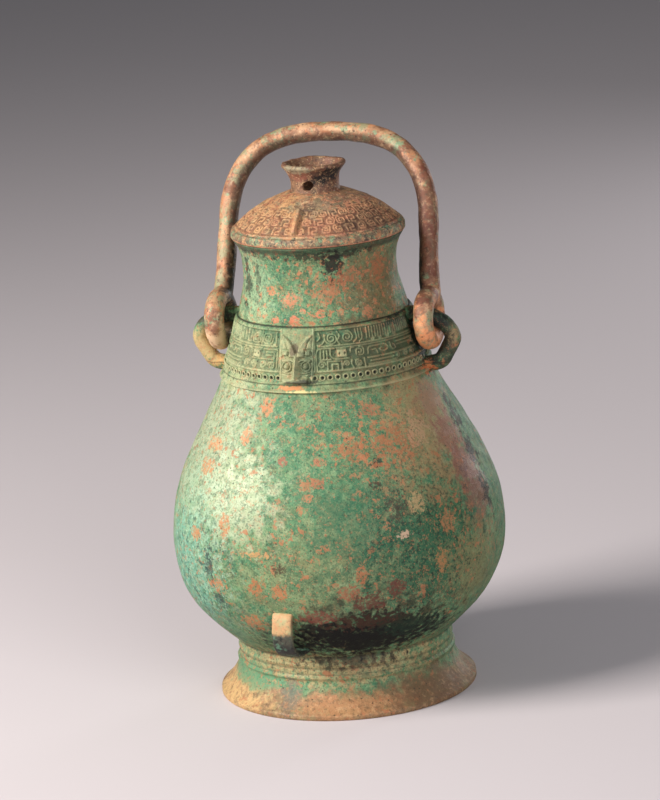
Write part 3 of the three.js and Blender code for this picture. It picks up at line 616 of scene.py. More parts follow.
def makeHandleMaterial():
    patina = Patina("handlePatina", (160, 114, 82), 0.52, 0.12)
    patina.specks((190, 150, 114), 18, 0.5, 7, 0.06, 0.75)
    patina.specks((112, 68, 50), 18, 0.53, 17, 0.06, 0.75)
    patina.specks((138, 142, 108), 13, 0.55, 27, 0.04, 0.75)
    patina.specks((112, 146, 112), 8, 0.585, 37, 0.03, 0.7)
    patina.specks((196, 124, 82), 4.4, 0.585, 33, 0.03, 0.6)
    patina.specks((92, 60, 46), 3, 0.6, 35, 0.03, 0.65)
    patina.patch((100, 50, 36), (64, 24, 286), (14, 50, 50), 1.1, 8, 0.4, 0.8)
    for side in (-1, 1):
        ring = (228, 146, 96) if side > 0 else (224, 190, 152)
        patina.patch(ring, (side * 68, 0, 222), (12, 22, 17), 1.0, 6, 0.4, 0.75)
    # dark patina and painted shade on the handle's sides turned in and down
    patina.over(patina.attribute("inner"), (66, 42, 32), 0.75)
    patina.specks((222, 186, 146), 2.6, 0.59, 47, 0.05, 0.22)
    patina.specks((52, 38, 32), 2.8, 0.6, 59, 0.05, 0.42)
    for side in (-1, 1):
        patina.patch((30, 24, 22), (side * 58, 10, 252), (6, 12, 20), 1.0, 4, 0.3, 0.85)
    return patina.finish(6, 1.0, 3.4, 0.75, (44, 30, 24))


vesselBronze, lidBronze, handleBronze = makeVesselMaterial(), makeLidMaterial(), makeHandleMaterial()
print("materials ready")

# Body

body = {
    "wall": 3.2, "columns": 300, "step": 1.8,
    "footRadius": 81, "footEdge": 3, "footWaistRadius": 67.5, "footWaistLevel": 23, "ridgeProud": 1.6,
    "footLineLevel": 31, "bellyFootLevel": 36, "undersideLevel": 15,
    "bellyRadius": 104.2, "bellyLevel": 100.7, "bandRadius": 65.7, "bandLevel": 204.8, "bandSlope": 0.37,
    "bandHeight": 38, "neckRadius": 48, "neckLevel": 264, "mouthRadius": 53, "mouthLevel": 290.6,
    "mouthFlare": 0.63,
}


def bodyLine():
    b = body
    foot, belly, neck, mouth = b["footWaistRadius"], b["bellyRadius"], b["neckRadius"], b["mouthRadius"]
    bellyRise = b["bellyLevel"] - b["bellyFootLevel"]
    shoulderRise = b["bandLevel"] - b["bellyLevel"]
    neckRise = b["neckLevel"] - b["bandLevel"]
    mouthRise = b["mouthLevel"] - b["neckLevel"]
    lowerBelly = [(foot, b["bellyFootLevel"]),
                  (foot + 0.25 * bellyRise, b["bellyFootLevel"] + 0.24 * bellyRise),
                  (belly, b["bellyLevel"] - 0.56 * bellyRise), (belly, b["bellyLevel"])]
    pull = 0.283 * shoulderRise
    shoulder = [(belly, b["bellyLevel"]), (belly, b["bellyLevel"] + 0.446 * shoulderRise),
                (b["bandRadius"] + b["bandSlope"] * pull, b["bandLevel"] - pull),
                (b["bandRadius"], b["bandLevel"])]
    throat = [(b["bandRadius"], b["bandLevel"]),
              (b["bandRadius"] - b["bandSlope"] * 0.33 * neckRise, b["bandLevel"] + 0.33 * neckRise),
              (neck, b["neckLevel"] - 0.05 * neckRise), (neck, b["neckLevel"])]
    lip = [(neck, b["neckLevel"]), (neck, b["neckLevel"] + 0.27 * mouthRise),
           (mouth - b["mouthFlare"] * 0.4 * mouthRise, b["mouthLevel"] - 0.4 * mouthRise),
           (mouth, b["mouthLevel"])]
    curves = [bezier(curve, 80) for curve in (lowerBelly, shoulder, throat, lip)]
    return np.vstack([curves[0], *[curve[1:] for curve in curves[1:]]])


def footLine():
    b = body
    spread, rise = b["footRadius"] - b["footWaistRadius"], b["footWaistLevel"] - b["footEdge"]
    flare = bezier([(b["footRadius"], b["footEdge"]),
                    (b["footWaistRadius"] + 0.2 * spread, b["footEdge"] + 0.4 * rise),
                    (b["footWaistRadius"], b["footWaistLevel"] - 1.2)], 30)
    return np.vstack([[(b["footRadius"], 0.4)], flare, [(b["footWaistRadius"], b["bellyFootLevel"])]])


outline = bodyLine()


def radiusAt(height):
    return np.interp(height, outline[:, 1], outline[:, 0])


bandTop = body["bandLevel"] + body["bandHeight"]


def bodyOffsets(radius, height, angle, run):
    # fine lines of the foot and neck, then dents and lumps over all
    b = body
    outer = np.where(run[:, 1:] > 0.02, 1.0, 0.0) * (height > 1)
    bumps = [(b["footWaistLevel"], 1.1, b["ridgeProud"]), (b["footLineLevel"], 0.7, 0.6),
             (b["footLineLevel"] - 1.7, 0.7, -0.5), (b["bellyFootLevel"] + 0.6, 0.9, -1),
             (bandTop + 1, 0.8, -0.7), (b["mouthLevel"] - 1.2, 1.6, 0.35)]         # level, width, height
    lines = sum(bump(height, *each) for each in bumps)
    beneath = (height > b["bandLevel"]) & (height < bandTop)      # the frieze's strip covers the wall here
    turn = np.radians(angle) + 0 * height
    places = around(radius, turn, height).reshape(-1, 3)
    dents = grains(places, (48, 0.9), (19, 0.45), (7, 0.18)).reshape(height.shape)
    fade = np.clip(height / 12, 0.12, 1) * np.clip((b["mouthLevel"] - height) / 12, 0.25, 1)
    return outer * (lines - 0.7 * beneath) + dents * fade * np.where(outer > 0, 1, 0.4)


def makeBody():
    b = body
    wall = b["wall"]
    foot, upper = footLine(), outline
    footInside = np.array([(r - wall, z) for r, z in foot[1:] if z < b["footWaistLevel"] - 2])
    rx, rz = b["footWaistRadius"] - wall, b["bellyFootLevel"] - b["undersideLevel"]
    quarter = np.radians(np.linspace(0, 90, 26))
    underside = np.stack([rx * np.sin(quarter), b["bellyFootLevel"] - rz * np.cos(quarter)], -1)
    underside = underside[underside[:, 1] < 30]
    floor = np.stack([rx * np.sin(quarter), b["bellyFootLevel"] + wall - rz * np.cos(quarter)], -1)
    inner = np.array([(r - wall, z) for r, z in upper if z > b["bellyFootLevel"] + wall + 1])
    outside = np.vstack([evenly(foot, 0.9), evenly(upper[upper[:, 1] < 205], b["step"])[1:],
                         evenly(upper[(upper[:, 1] > 206) & (upper[:, 1] < 240)], 5),
                         evenly(upper[upper[:, 1] > 241], 1.1)])
    edge, mouth, top = b["footRadius"], b["mouthRadius"], b["mouthLevel"]
    footEdge = [(edge - wall, 0.4), (edge - wall + 0.5, 0), (edge - 0.5, 0)]
    lip = [(mouth - 0.7, top), (mouth - wall + 0.6, top)]
    profile = np.vstack([underside, footInside[::-1], footEdge, outside, lip,
                         evenly(inner[::-1], 7), floor[::-1][3:]])
    vertices, faces = turned(profile, b["columns"], bodyOffsets)
    vertices[:, 2] = np.maximum(vertices[:, 2], 0)
    return makePiece("vesselBody", vertices, Faces(faces), vesselBronze)


handIn(makeBody(), "vessel", "vessel_bronze", "vessel")

# Frieze: the band's strip, its panels and masks as one raised surface

band = {
    "columns": 1160, "rowStep": 0.49, "proud": 0.8, "sink": 1.6,
    "topMargin": 2.4, "friezeHeight": 23, "ground": -0.45,
    "strokeProud": 0.95, "strokeWidth": 0.95, "strokeSoft": 0.55,
    "lineLevel": 209.7, "circleLevel": 212.9, "maskWidth": 20, "maskHeight": 29, "skinRadius": 60,
    "hornProud": 2.5, "noseProud": 5.5, "eyeProud": 2.4, "earHalf": 5.3,
}
circles = {"pitch": 4.7, "ringRadius": 1.6, "bead": 0.5, "pit": 1.9, "maskGap": 10.5, "earGap": 5.5,
           "worn": 0.9}
friezeTop = bandTop - band["topMargin"]
friezeFoot = friezeTop - band["friezeHeight"]
friezeMiddle = (friezeTop + friezeFoot) / 2
maskEdge = math.degrees(band["maskWidth"] / 2 / (radiusAt(friezeMiddle) + band["proud"]))
panel = {"length": 70, "tall": 24, "start": maskEdge + 1.5,
         "end": 90 - math.degrees(band["earHalf"] / (radiusAt(friezeMiddle) + band["proud"]))}


def circleRing():
    # the radius of the row and the number of its rings
    radius = float(radiusAt(band["circleLevel"]) + band["proud"])
    return radius, round(2 * math.pi * radius / circles["pitch"])


def scroll(x, y, radius, windings, start, hand=1, square=2.0):
    # winds in from its rim; square 2 is round and more is squarer
    angle = np.radians(start) + hand * np.linspace(0, windings * 2 * np.pi, int(windings * 20))
    reach = radius * (1 - 0.8 * np.linspace(0, 1, len(angle)))
    corner = (np.abs(np.cos(angle)) ** square + np.abs(np.sin(angle)) ** square) ** (-1 / square)
    return np.stack([x + reach * corner * np.cos(angle), y + reach * corner * np.sin(angle)], -1)


def path(*points):
    return np.array(points, float)


def soft(*points):
    return smoothLine(points, 5)


def plume(first, last, pitch, low, high):
    return [path((x, low), (x + 0.5, high)) for x in np.arange(first, last, pitch)]


def bodyRibbons():
    # the creature's body behind its eye: long ribbons with curled ends, and the plume over them
    strokes = plume(31, 67, 1.9, 16.6, 23)
    strokes += [scroll(x, 16, 1.1, 1, 180) for x in (35, 40, 45.5, 51)]
    strokes += [path((1.6, 14.3), (67, 14.3)), path((12, 12.9), (67, 12.9))]
    strokes += [soft((30, 7.2), (31, 10.8), (36, 11.2), (42, 10.9),
                     (43.5, 8.4), (40, 7.2), (37.6, 8.6), (39.2, 9.6))]
    strokes += [soft((33, 8.9), (35.2, 9), (36, 6.6)), soft((45.5, 11.2), (45.8, 7.4), (48.6, 7), (48.4, 9.4))]
    strokes += [path((50.5, 10.8), (67, 10.8)), path((50.5, 8.9), (63, 8.9)), scroll(65, 8.2, 1.5, 1.1, 90)]
    strokes += [path((29.5, 4.6), (66, 4.6)), path((31, 2.6), (46, 2.6)), path((29.5, 0.7), (48, 0.7))]
    strokes += [scroll(49, 2.5, 1.6, 1.2, 90, -1), scroll(55.5, 2.2, 1.9, 1.4, 0)]
    strokes += [scroll(61.5, 2.2, 1.9, 1.4, 180, -1)]
    return strokes


def rightPanel():
    strokes = [path((-2, -0.4), (-2, 23.6)), path((-0.4, 0), (-0.4, 23.4))]
    strokes += [soft((5.6, 21), (5.6, 18.2), (4.2, 15.8), (1.4, 14.9))]
    strokes += [soft((2.2, 22.4), (3, 19.6), (1.2, 17.6))]
    strokes += [scroll(9.6, 18.8, 4, 2, 150), soft((13.4, 22.6), (14.6, 20), (13, 17.4), (14.4, 15.2))]
    strokes += [scroll(19, 19, 3.7, 1.8, 100, -1), soft((24.4, 23), (24.6, 17.4), (22.6, 15.6))]
    strokes += [soft((28, 23), (28, 17), (26, 15.4)), path((26.2, 17.6), (26.2, 23))]
    strokes += [soft((11, 12.6), (3, 12.8), (0.9, 11.4), (0.9, 0.4))]
    strokes += [path((2.9, 6.2), (2.9, 11.6)), path((4.7, 6.2), (4.7, 11.4)), path((6.5, 6.2), (6.5, 11.4))]
    strokes += [path((2.9, 6.2), (8.6, 6.2)), soft((8.6, 12), (8.4, 8.8), (10.4, 6.4), (18.6, 6.2))]
    strokes += [soft((19.6, 9.4), (20.4, 12), (22, 12.2)), scroll(25, 9.4, 2.9, 1.7, 90, -1, 4)]
    strokes += [scroll(3.4, 3, 2.3, 1.4, 0), path((6.6, 0.4), (6.6, 4.8), (14.4, 4.8), (14.4, 0.4))]
    strokes += [path((9, 0.4), (9, 3), (12.2, 3), (12.2, 0.6)), scroll(17, 2.8, 1.9, 1.4, 200, -1)]
    strokes += [soft((20.2, 4.8), (19.6, 2.4), (20.6, 0.4)), scroll(23.9, 2.6, 2.1, 1.7, 90, 1, 4)]
    strokes += [path((27.4, 4.8), (27.2, 0.3))]
    return strokes + bodyRibbons()


def leftPanel():
    strokes = [path((-2, -0.4), (-2, 23.6)), path((-0.4, 0), (-0.4, 23.4))]
    strokes += [path((2.4, 22.6), (2.4, 15.4), (4, 15.4)), scroll(8.4, 19, 3.7, 2, 180, 1, 5)]
    strokes += [scroll(16.8, 19, 3.6, 2, 0, -1, 5), path((12.6, 23), (12.6, 15.6))]
    strokes += [path((22, 23), (22, 16), (25, 16), (25, 23)), path((28, 16), (28, 23))]
    strokes += [path((1, 0.4), (1, 12.4), (10.6, 12.4)), path((3, 6.4), (3, 10.6), (8.6, 10.6))]
    strokes += [path((4.8, 8.6), (8.6, 8.6)), path((3, 6.4), (19, 6.4))]
    strokes += [soft((19.4, 9.6), (20.4, 12), (22.4, 12.2)), scroll(25, 9.4, 2.8, 1.7, 90, -1, 5)]
    strokes += [scroll(x, 2.6, 2.2, 1.6, start, hand, 4) for x, start, hand in
                ((4.4, 0, 1), (10, 180, -1), (16.6, 0, 1), (23, 180, -1))]
    return strokes + bodyRibbons()


def backPanel():
    strokes = [path((-1.2, 0), (-1.2, 23.6)), path((2, 14), (67, 14)), path((2, 6), (67, 6))]
    strokes += [scroll(x, 19, 3.4, 1.6, 180, 1, 4) for x in (8, 17, 26)]
    strokes += [scroll(x, 3, 2, 1.3, 0, 1, 4) for x in (7, 14, 21, 28, 35, 42, 49, 56, 63)]
    strokes += [path((32, y), (66, y)) for y in (16.6, 19, 21.4)] + [path((22, y), (66, y)) for y in (8.4, 11)]
    return strokes


def nearest(x, y, points):
    # distance from each place to a line
    best = np.full(x.shape, 1e9)
    for (ax, ay), (bx, by) in zip(points, points[1:]):
        dx, dy = bx - ax, by - ay
        t = np.clip(((x - ax) * dx + (y - ay) * dy) / max(dx * dx + dy * dy, 1e-9), 0, 1)
        best = np.minimum(best, (x - ax - t * dx) ** 2 + (y - ay - t * dy) ** 2)
    return np.sqrt(best)


def raised(distance, width, edge):
    return smoothstep((width / 2 + edge / 2 - distance) / edge)


def panelRelief(x, y, strokes, unit):
    # x and y in panel units; returns 0 on the ground and 1 on a stroke
    height = np.zeros(x.shape)
    for points in strokes:
        lowX, lowY = points.min(0) - 2
        highX, highY = points.max(0) + 2
        near = (x > lowX) & (x < highX) & (y > lowY) & (y < highY)
        if near.any():
            away = nearest(x[near] * unit[0], y[near] * unit[1], points * unit)
            height[near] = np.maximum(height[near], raised(away, band["strokeWidth"], band["strokeSoft"]))
    return height


# The mask in mm: across from its ridge, and up from its foot
maskLines = {
    "hornEdge": [(0.3, 16.2), (1.3, 19.2), (3.4, 22.6), (6.4, 25.6), (9.9, 27.9)],    # ridge to tip
    "vein": [(9.2, 25.8), (6.9, 22.6), (5.9, 19.2)],
    "hornFoot": [(1, 14.4), (5, 15.4), (9.4, 14.6)],
    "brow": [(1.2, 11.4), (4.4, 12.5), (8.6, 11.9)],
    "cheek": [(1.8, 5.2), (5, 4.6), (8.6, 5.4)],
    "snout": [(1.8, 3.6), (5, 3.1), (8.6, 3.8)],
}


def maskRelief(x, y):
    # the height out of the band
    b = band
    lines = {label: smoothLine(points, 6) for label, points in maskLines.items()}
    across, half = np.abs(x), b["maskWidth"] / 2
    height = np.full(x.shape, -0.35)
    edge = lines["hornEdge"]
    inner = np.interp(y, edge[:, 1], edge[:, 0])
    onHorn = (y > 13.6) & (y < 27.9)
    inside = smoothstep((across - inner) / 0.6) * smoothstep((y - 13.6) / 0.8)
    inside = inside * smoothstep((half - 0.4 - across) / 0.5)
    slope = 1 - 0.7 * np.clip((across - inner) / 9, 0, 1)
    height = np.maximum(height, b["hornProud"] * inside * slope * onHorn)
    height -= 0.9 * raised(nearest(across, y, lines["vein"]), 0.7, 0.5) * (inside > 0.5)
    height = np.maximum(height, 0.5 * smoothstep((14.6 - y) / 0.8) * smoothstep((y - 1) / 0.8))
    height = np.maximum(height, 1.9 * raised(nearest(across, y, lines["hornFoot"]), 0.8, 0.5))
    ridge = np.interp(y, [0, 1.2, 3.5, 9, 16, 17.5], [0.3, 0.75, 1, 0.9, 0.5, 0])
    reach = np.interp(y, [0, 6, 18], [3.4, 3, 1.6])
    height = np.maximum(height, b["noseProud"] * ridge * np.clip(1 - across / reach, 0, 1))
    square = np.maximum(np.abs(across - 7) / 1.1, np.abs(y - 16.4))
    height = np.where(square < 2.1, 0.6, height)
    height = np.maximum(height, 2.2 * raised(square, 2.8, 0.5))
    away = np.hypot(across - 6, y - 8.7)
    height = np.maximum(height, 0.5 + b["eyeProud"] * np.sqrt(np.clip(1 - (away / 1.8) ** 2, 0, 1)))
    height = np.maximum(height, 1.7 * raised(np.abs(away - 2.8), 0.8, 0.5))
    height = np.maximum(height, 1.9 * raised(nearest(across, y, lines["brow"]), 1.1, 0.6))
    for label in ("cheek", "snout"):
        height = np.maximum(height, 1.6 * raised(nearest(across, y, lines[label]), 0.8, 0.5))
    lip = smoothstep((8.4 - across) / 1.2) * np.interp(y, [-1.3, -0.5, 1.9, 2.6], [0, 1, 1, 0])
    height = np.maximum(height, 3.6 * lip)
    return np.maximum(height, raised(np.abs(across - half), 1.2, 0.5) * (y > 0))


def bandRelief(height, angle):
    # height out of the plain band for each place, how deep in a hollow or how worn it is, and where the top
    # groove and the ring pits get painted shade
    b = band
    ground = b["ground"] * (smoothstep((height - friezeFoot) / 0.6) * smoothstep((friezeTop - height) / 0.6))
    bumps = [(body["bandLevel"] + 0.2, 0.9, 1), (b["lineLevel"], 0.45, 0.55), (friezeFoot - 0.8, 0.6, 0.9),
             (friezeTop + 0.2, 0.5, 0.45), (b["circleLevel"], 2, -0.3), (bandTop - 0.4, 0.55, -1.1),
             (b["lineLevel"] - 0.9, 0.4, -0.5)]                    # level, width, height
    lines = sum(bump(height, *each) for each in bumps)
    relief = ground + lines
    signed = (angle + 180) % 360 - 180
    folded = np.abs(signed)
    aside = np.where(folded > 90, 180 - folded, folded) + 0 * height
    x = (aside - panel["start"]) / (panel["end"] - panel["start"]) * panel["length"]
    y = (height - friezeFoot) / b["friezeHeight"] * panel["tall"] + 0 * aside
    unit = np.array([math.radians(panel["end"] - panel["start"]) * radiusAt(friezeMiddle) / panel["length"],
                     b["friezeHeight"] / panel["tall"]])
    strokes = np.zeros(x.shape)
    signed, folded = signed + 0 * height, folded + 0 * height
    front = folded <= 90
    sides = ((signed >= 0) & front, rightPanel()), ((signed < 0) & front, leftPanel()), (~front, backPanel())
    for where, drawn in sides:
        strokes[where] = panelRelief(x[where], y[where], drawn, unit)
    boss = raised(np.maximum(np.abs(x - 14.9) * unit[0] / 1.25, np.abs(y - 9.5) * unit[1]), 4.6, 1.0)
    pupils = sum(raised(np.hypot((x - at) * unit[0], (y - 9.5) * unit[1]), 1.1, 0.5) for at in (13.4, 16.4))
    relief = relief + b["strokeProud"] * strokes
    relief = np.maximum(relief, 1.8 * boss - 0.9 * pupils - 0.4)
    across = np.radians(np.where(folded > 90, (signed % 360) - 180, signed)) * (radiusAt(height) + b["proud"])
    maskFoot = friezeTop - b["maskHeight"]
    inMask = (np.abs(across) < b["maskWidth"] / 2 + 1) & (height > maskFoot - 1.6)
    inMask = inMask & (height < friezeTop + 1.5)
    face = maskRelief(across, height - maskFoot)
    relief = np.where(inMask, np.maximum(face, 0.5 * relief - 0.5), relief)
    inFrieze = (height > friezeFoot - 0.2) & (height < friezeTop)
    hollow = np.where(inFrieze & ~inMask, 1 - np.maximum(strokes, boss - pupils), 0)
    hollow = np.maximum(hollow, np.where(inMask, smoothstep((0.7 - face) / 0.8), 0))
    rowRadius, count = circleRing()
    aside = np.radians(((angle % 360) * count / 360) % 1 - 0.5) * 360 / count * rowRadius
    inRing = raised(np.hypot(aside, height - b["circleLevel"]), circles["pit"], 0.5) * ~inMask
    relief = relief - 0.5 * inRing
    hollow = np.maximum(hollow, bump(height, b["circleLevel"], 2.4, 0.25) * ~inMask)
    # painted shade along the groove at the band's top
    grooveShade = bump(height, bandTop - 0.2, 0.6, 1.0)
    worn = np.clip(relief / 1.1, 0, 1) * (1 - hollow)
    return relief, hollow, worn, np.maximum(grooveShade, inRing)


def makeFrieze():
    b = band
    low, high = body["bandLevel"] - 1.4, bandTop + 0.6
    levels = np.arange(low, high + 0.01, b["rowStep"])
    angle = np.linspace(0, 360, b["columns"], endpoint=False)
    height, turn = np.meshgrid(levels, angle, indexing="ij")
    relief, hollow, worn, grooveShade = bandRelief(height, turn)
    edge = smoothstep((height - low) / 1.4) * smoothstep((high - height) / 0.9)
    places = around(b["skinRadius"], np.radians(turn), height).reshape(-1, 3)
    skin = grains(places, (9, 0.22), (2.6, 0.1)).reshape(height.shape)
    radius = radiusAt(height) + (b["proud"] + relief + skin) * edge - 0.9 * (1 - edge)
    backLevels = levels[[-1, len(levels) // 2, 0]]                 # three rows inside the wall close the strip
    back = np.repeat(radiusAt(backLevels)[:, None] - b["sink"], len(angle), 1)
    radius = np.vstack([radius, back])
    height = np.vstack([height, np.repeat(backLevels[:, None], len(angle), 1)])
    turn = np.radians(np.vstack([turn, turn[:3]]))
    vertices = around(radius, turn, height).reshape(-1, 3)
    rows, columns = height.shape
    padding = np.zeros((3, columns))
    marks = {label: np.vstack([values, padding]).ravel()
             for label, values in (("hollow", hollow * edge), ("worn", worn), ("grooveShade", grooveShade))}
    return makePiece("friezeBand", vertices, gridFaces(rows, columns, True), vesselBronze, marks)


handIn(makeFrieze(), "vessel", "vessel_bronze", "vessel")


# Geometry Nodes

def geometryTree(name, inputs):
    tree = bpy.data.node_groups.new(name, "GeometryNodeTree")
    tree.interface.new_socket(name="Geometry", in_out="INPUT", socket_type="NodeSocketGeometry")
    for label, kind, value in inputs:
        socket = tree.interface.new_socket(name=label, in_out="INPUT", socket_type=kind)
        if value is not None:
            socket.default_value = value
    tree.interface.new_socket(name="Geometry", in_out="OUTPUT", socket_type="NodeSocketGeometry")
    return tree, tree.nodes.new("NodeGroupInput"), tree.nodes.new("NodeGroupOutput")


def closeTree(tree, given, out, geometry):
    whole = node(tree, "GeometryNodeRealizeInstances", {"Geometry": geometry}).outputs["Geometry"]
    painted = node(tree, "GeometryNodeSetMaterial", {"Geometry": whole, "Material": given.outputs["Finish"]})
    tree.links.new(painted.outputs["Geometry"], out.inputs["Geometry"])


def makeRodTree():
    # a round cast rod along each edge line of the input
    tree, given, out = geometryTree("castRod", [
        ("Rod Radius", "NodeSocketFloat", 0.005), ("Spacing", "NodeSocketFloat", 0.002),
        ("Sides", "NodeSocketInt", 24), ("Finish", "NodeSocketMaterial", None)])
    line = node(tree, "GeometryNodeMeshToCurve", {"Mesh": given.outputs["Geometry"]}).outputs["Curve"]
    even = node(tree, "GeometryNodeResampleCurve", {"Curve": line, "Length": given.outputs["Spacing"]},
                mode="LENGTH").outputs["Curve"]
    section = node(tree, "GeometryNodeCurvePrimitiveCircle", {
        "Resolution": given.outputs["Sides"], "Radius": given.outputs["Rod Radius"]}).outputs["Curve"]
    rod = node(tree, "GeometryNodeCurveToMesh", {"Curve": even, "Profile Curve": section, "Fill Caps": True})
    closeTree(tree, given, out, rod.outputs["Mesh"])
    return tree


def makeBeadTree():
    # a small raised ring on each point of the input, facing out of the band
    tree, given, out = geometryTree("ringRow", [
        ("Ring Radius", "NodeSocketFloat", 0.0014), ("Bead", "NodeSocketFloat", 0.0004),
        ("Uneven", "NodeSocketFloat", 0.1), ("Seed", "NodeSocketInt", 3),
        ("Finish", "NodeSocketMaterial", None)])
    points = node(tree, "GeometryNodeMeshToPoints", {"Mesh": given.outputs["Geometry"]}).outputs["Points"]
    ring, section = [node(tree, "GeometryNodeCurvePrimitiveCircle", {
        "Resolution": count, "Radius": given.outputs[label]}).outputs["Curve"]
        for count, label in ((14, "Ring Radius"), (8, "Bead"))]
    bead = node(tree, "GeometryNodeCurveToMesh", {"Curve": ring, "Profile Curve": section})
    place = tree.nodes.new("GeometryNodeInputPosition").outputs[0]
    outward = node(tree, "ShaderNodeVectorMath", {0: place, 1: (1, 1, 0)}, operation="MULTIPLY").outputs[0]
    facing = node(tree, "FunctionNodeAlignRotationToVector", {"Vector": outward}, axis="Z").outputs["Rotation"]
    least = maths(tree, "SUBTRACT", 1.0, given.outputs["Uneven"])
    scale = node(tree, "FunctionNodeRandomValue", {"Seed": given.outputs["Seed"]}, data_type="FLOAT")
    tree.links.new(least, scale.inputs[2])
    scale.inputs[3].default_value = 1.0
    rings = node(tree, "GeometryNodeInstanceOnPoints", {
        "Points": points, "Instance": bead.outputs["Mesh"], "Rotation": facing, "Scale": scale.outputs[1]})
    closeTree(tree, given, out, rings.outputs["Instances"])
    return tree


rodTree, beadTree = makeRodTree(), makeBeadTree()


def grow(name, points, edges, tree, values):
    # runs a tree on loose points or lines and keeps its result as a plain mesh
    mesh = bpy.data.meshes.new(name + "Line")
    mesh.from_pydata((np.asarray(points) * mm).tolist(), edges, [])
    source = bpy.data.objects.new(name, mesh)
    bpy.context.scene.collection.objects.link(source)
    modifier = source.modifiers.new("shape", "NODES")
    modifier.node_group = tree
    for item in tree.interface.items_tree:
        if item.item_type == "SOCKET" and item.in_out == "INPUT" and item.name in values:
            modifier[item.identifier] = values[item.name]
    return settle(source)


def settle(piece):
    # keeps the evaluated mesh and drops the modifiers
    depsgraph = bpy.context.evaluated_depsgraph_get()
    mesh = bpy.data.meshes.new_from_object(piece.evaluated_get(depsgraph), depsgraph=depsgraph)
    piece.modifiers.clear()
    piece.data = mesh
    mesh.shade_smooth()
    return piece


def remeshed(piece, voxel):
    remesh = piece.modifiers.new("voxels", "REMESH")
    remesh.mode = "VOXEL"
    remesh.voxel_size = voxel * mm
    material = piece.data.materials[0]
    settle(piece)
    piece.data.materials.clear()
    piece.data.materials.append(material)
    return piece


def placesAndNormals(mesh):
    places = np.empty(3 * len(mesh.vertices), np.float32)
    normals = np.empty_like(places)
    mesh.vertices.foreach_get("co", places)
    mesh.vertices.foreach_get("normal", normals)
    return places.reshape(-1, 3), normals.reshape(-1, 3)


def roughen(piece, *sizes):
    places, normals = placesAndNormals(piece.data)
    places = places + normals * (grains(places / mm, *sizes) * mm)[:, None]
    piece.data.vertices.foreach_set("co", places.ravel())
    piece.data.update()
    return piece


def chain(count, closed=False, first=0):
    return [(first + k, first + (k + 1) % count) for k in range(count if closed else count - 1)]


# Circle row under the frieze

def makeCircles():
    radius, count = circleRing()
    points = []
    for turn in (np.arange(count) + 0.5) * 2 * np.pi / count:
        x, y = radius * math.sin(turn), -radius * math.cos(turn)
        if abs(x) > circles["maskGap"] and abs(y) > circles["earGap"]:
            points.append((x, y, band["circleLevel"]))
    row = grow("circleRow", points, [], beadTree, {
        "Ring Radius": circles["ringRadius"] * mm, "Bead": circles["bead"] * mm, "Finish": vesselBronze})
    mark(row.data, "worn", np.full(len(row.data.vertices), circles["worn"]))
    return row


handIn(makeCircles(), "vessel", "vessel_bronze", "vessel")

# Ears

ears = {"rod": 10, "reach": 82.2, "topLevel": 239, "footLevel": 208, "ringReach": 67.8}


def makeEar(name, side):
    e = ears
    root = body["wall"] / 2
    top, foot = float(radiusAt(e["topLevel"])), float(radiusAt(e["footLevel"]))
    corners = [(top - root, e["topLevel"]), (e["ringReach"] - 7, e["topLevel"]),
               (e["ringReach"] + 1, e["topLevel"] - 1.5),
               (e["reach"] - 4, e["topLevel"] - 7), (e["reach"], (e["topLevel"] + e["footLevel"]) / 2 + 1),
               (e["reach"] - 4, e["footLevel"] + 8), ((e["reach"] + foot) / 2, e["footLevel"] + 1.5),
               (foot - root, e["footLevel"] - 1)]
    line = smoothLine([(side * x, 0, z) for x, z in corners], 8)
    ear = grow(name, line, chain(len(line)), rodTree, {
        "Rod Radius": e["rod"] / 2 * mm, "Spacing": 0.9 * mm, "Sides": 40, "Finish": vesselBronze})
    return roughen(ear, (14, 0.35), (5, 0.2), (2, 0.1))


for earName, side in (("rightEar", 1), ("leftEar", -1)):
    handIn(makeEar(earName, side), "vessel", "vessel_bronze", "vessel")

# Small loop low on the belly

loop = {"width": 13, "thick": 3.6, "reach": 13, "topLevel": 75.6, "footLevel": 44.6, "turn": -4.2}


def makeLoop():
    p = loop
    middle = (p["topLevel"] + p["footLevel"]) / 2
    reach = float(radiusAt(middle)) + p["reach"]

    def side(inset, topLevel, footLevel):
        topRoot, footRoot = (float(radiusAt(z)) - body["wall"] / 2 for z in (topLevel, footLevel))
        out = reach - inset
        bend = (out - 1, middle - 2)
        upper = bezier([(topRoot, topLevel), (out, topLevel), (out, middle + 2), bend], 22)
        lower = bezier([bend, (out - 2, footLevel + 0.3), (footRoot, footLevel)], 18)
        return np.vstack([upper, lower[1:]])

    outer = side(0, p["topLevel"], p["footLevel"] - 2)
    inner = side(p["thick"], p["topLevel"] - p["thick"], p["footLevel"] + 2)
    shares = np.linspace(-1, 1, 15)
    section = [(w * p["width"] / 2, (1 - abs(w) ** 8 * 0.5) / 2) for w in shares]    # across, half thickness
    ring = [(a, 0.5 + t) for a, t in section] + [(a, 0.5 - t) for a, t in section[::-1]]
    turn = math.radians(p["turn"])
    vertices = []
    for o, i in zip(outer, inner):
        for across, share in ring:
            r, z = i + (o - i) * share
            x, y = r * math.sin(turn) + across * math.cos(turn), -r * math.cos(turn) + across * math.sin(turn)
            vertices.append((x, y, z))
    rows, size = len(outer), len(ring)
    faces = [[i * size + j, (i + 1) * size + j, (i + 1) * size + (j + 1) % size, i * size + (j + 1) % size]
             for i in range(rows - 1) for j in range(size)]
    faces += [list(range(size)), list(range((rows - 1) * size, rows * size))[::-1]]
    piece = remeshed(makePiece("smallLoop", vertices, Faces(faces), loopBronze), 0.45)
    return roughen(piece, (8, 0.35), (2.5, 0.2))


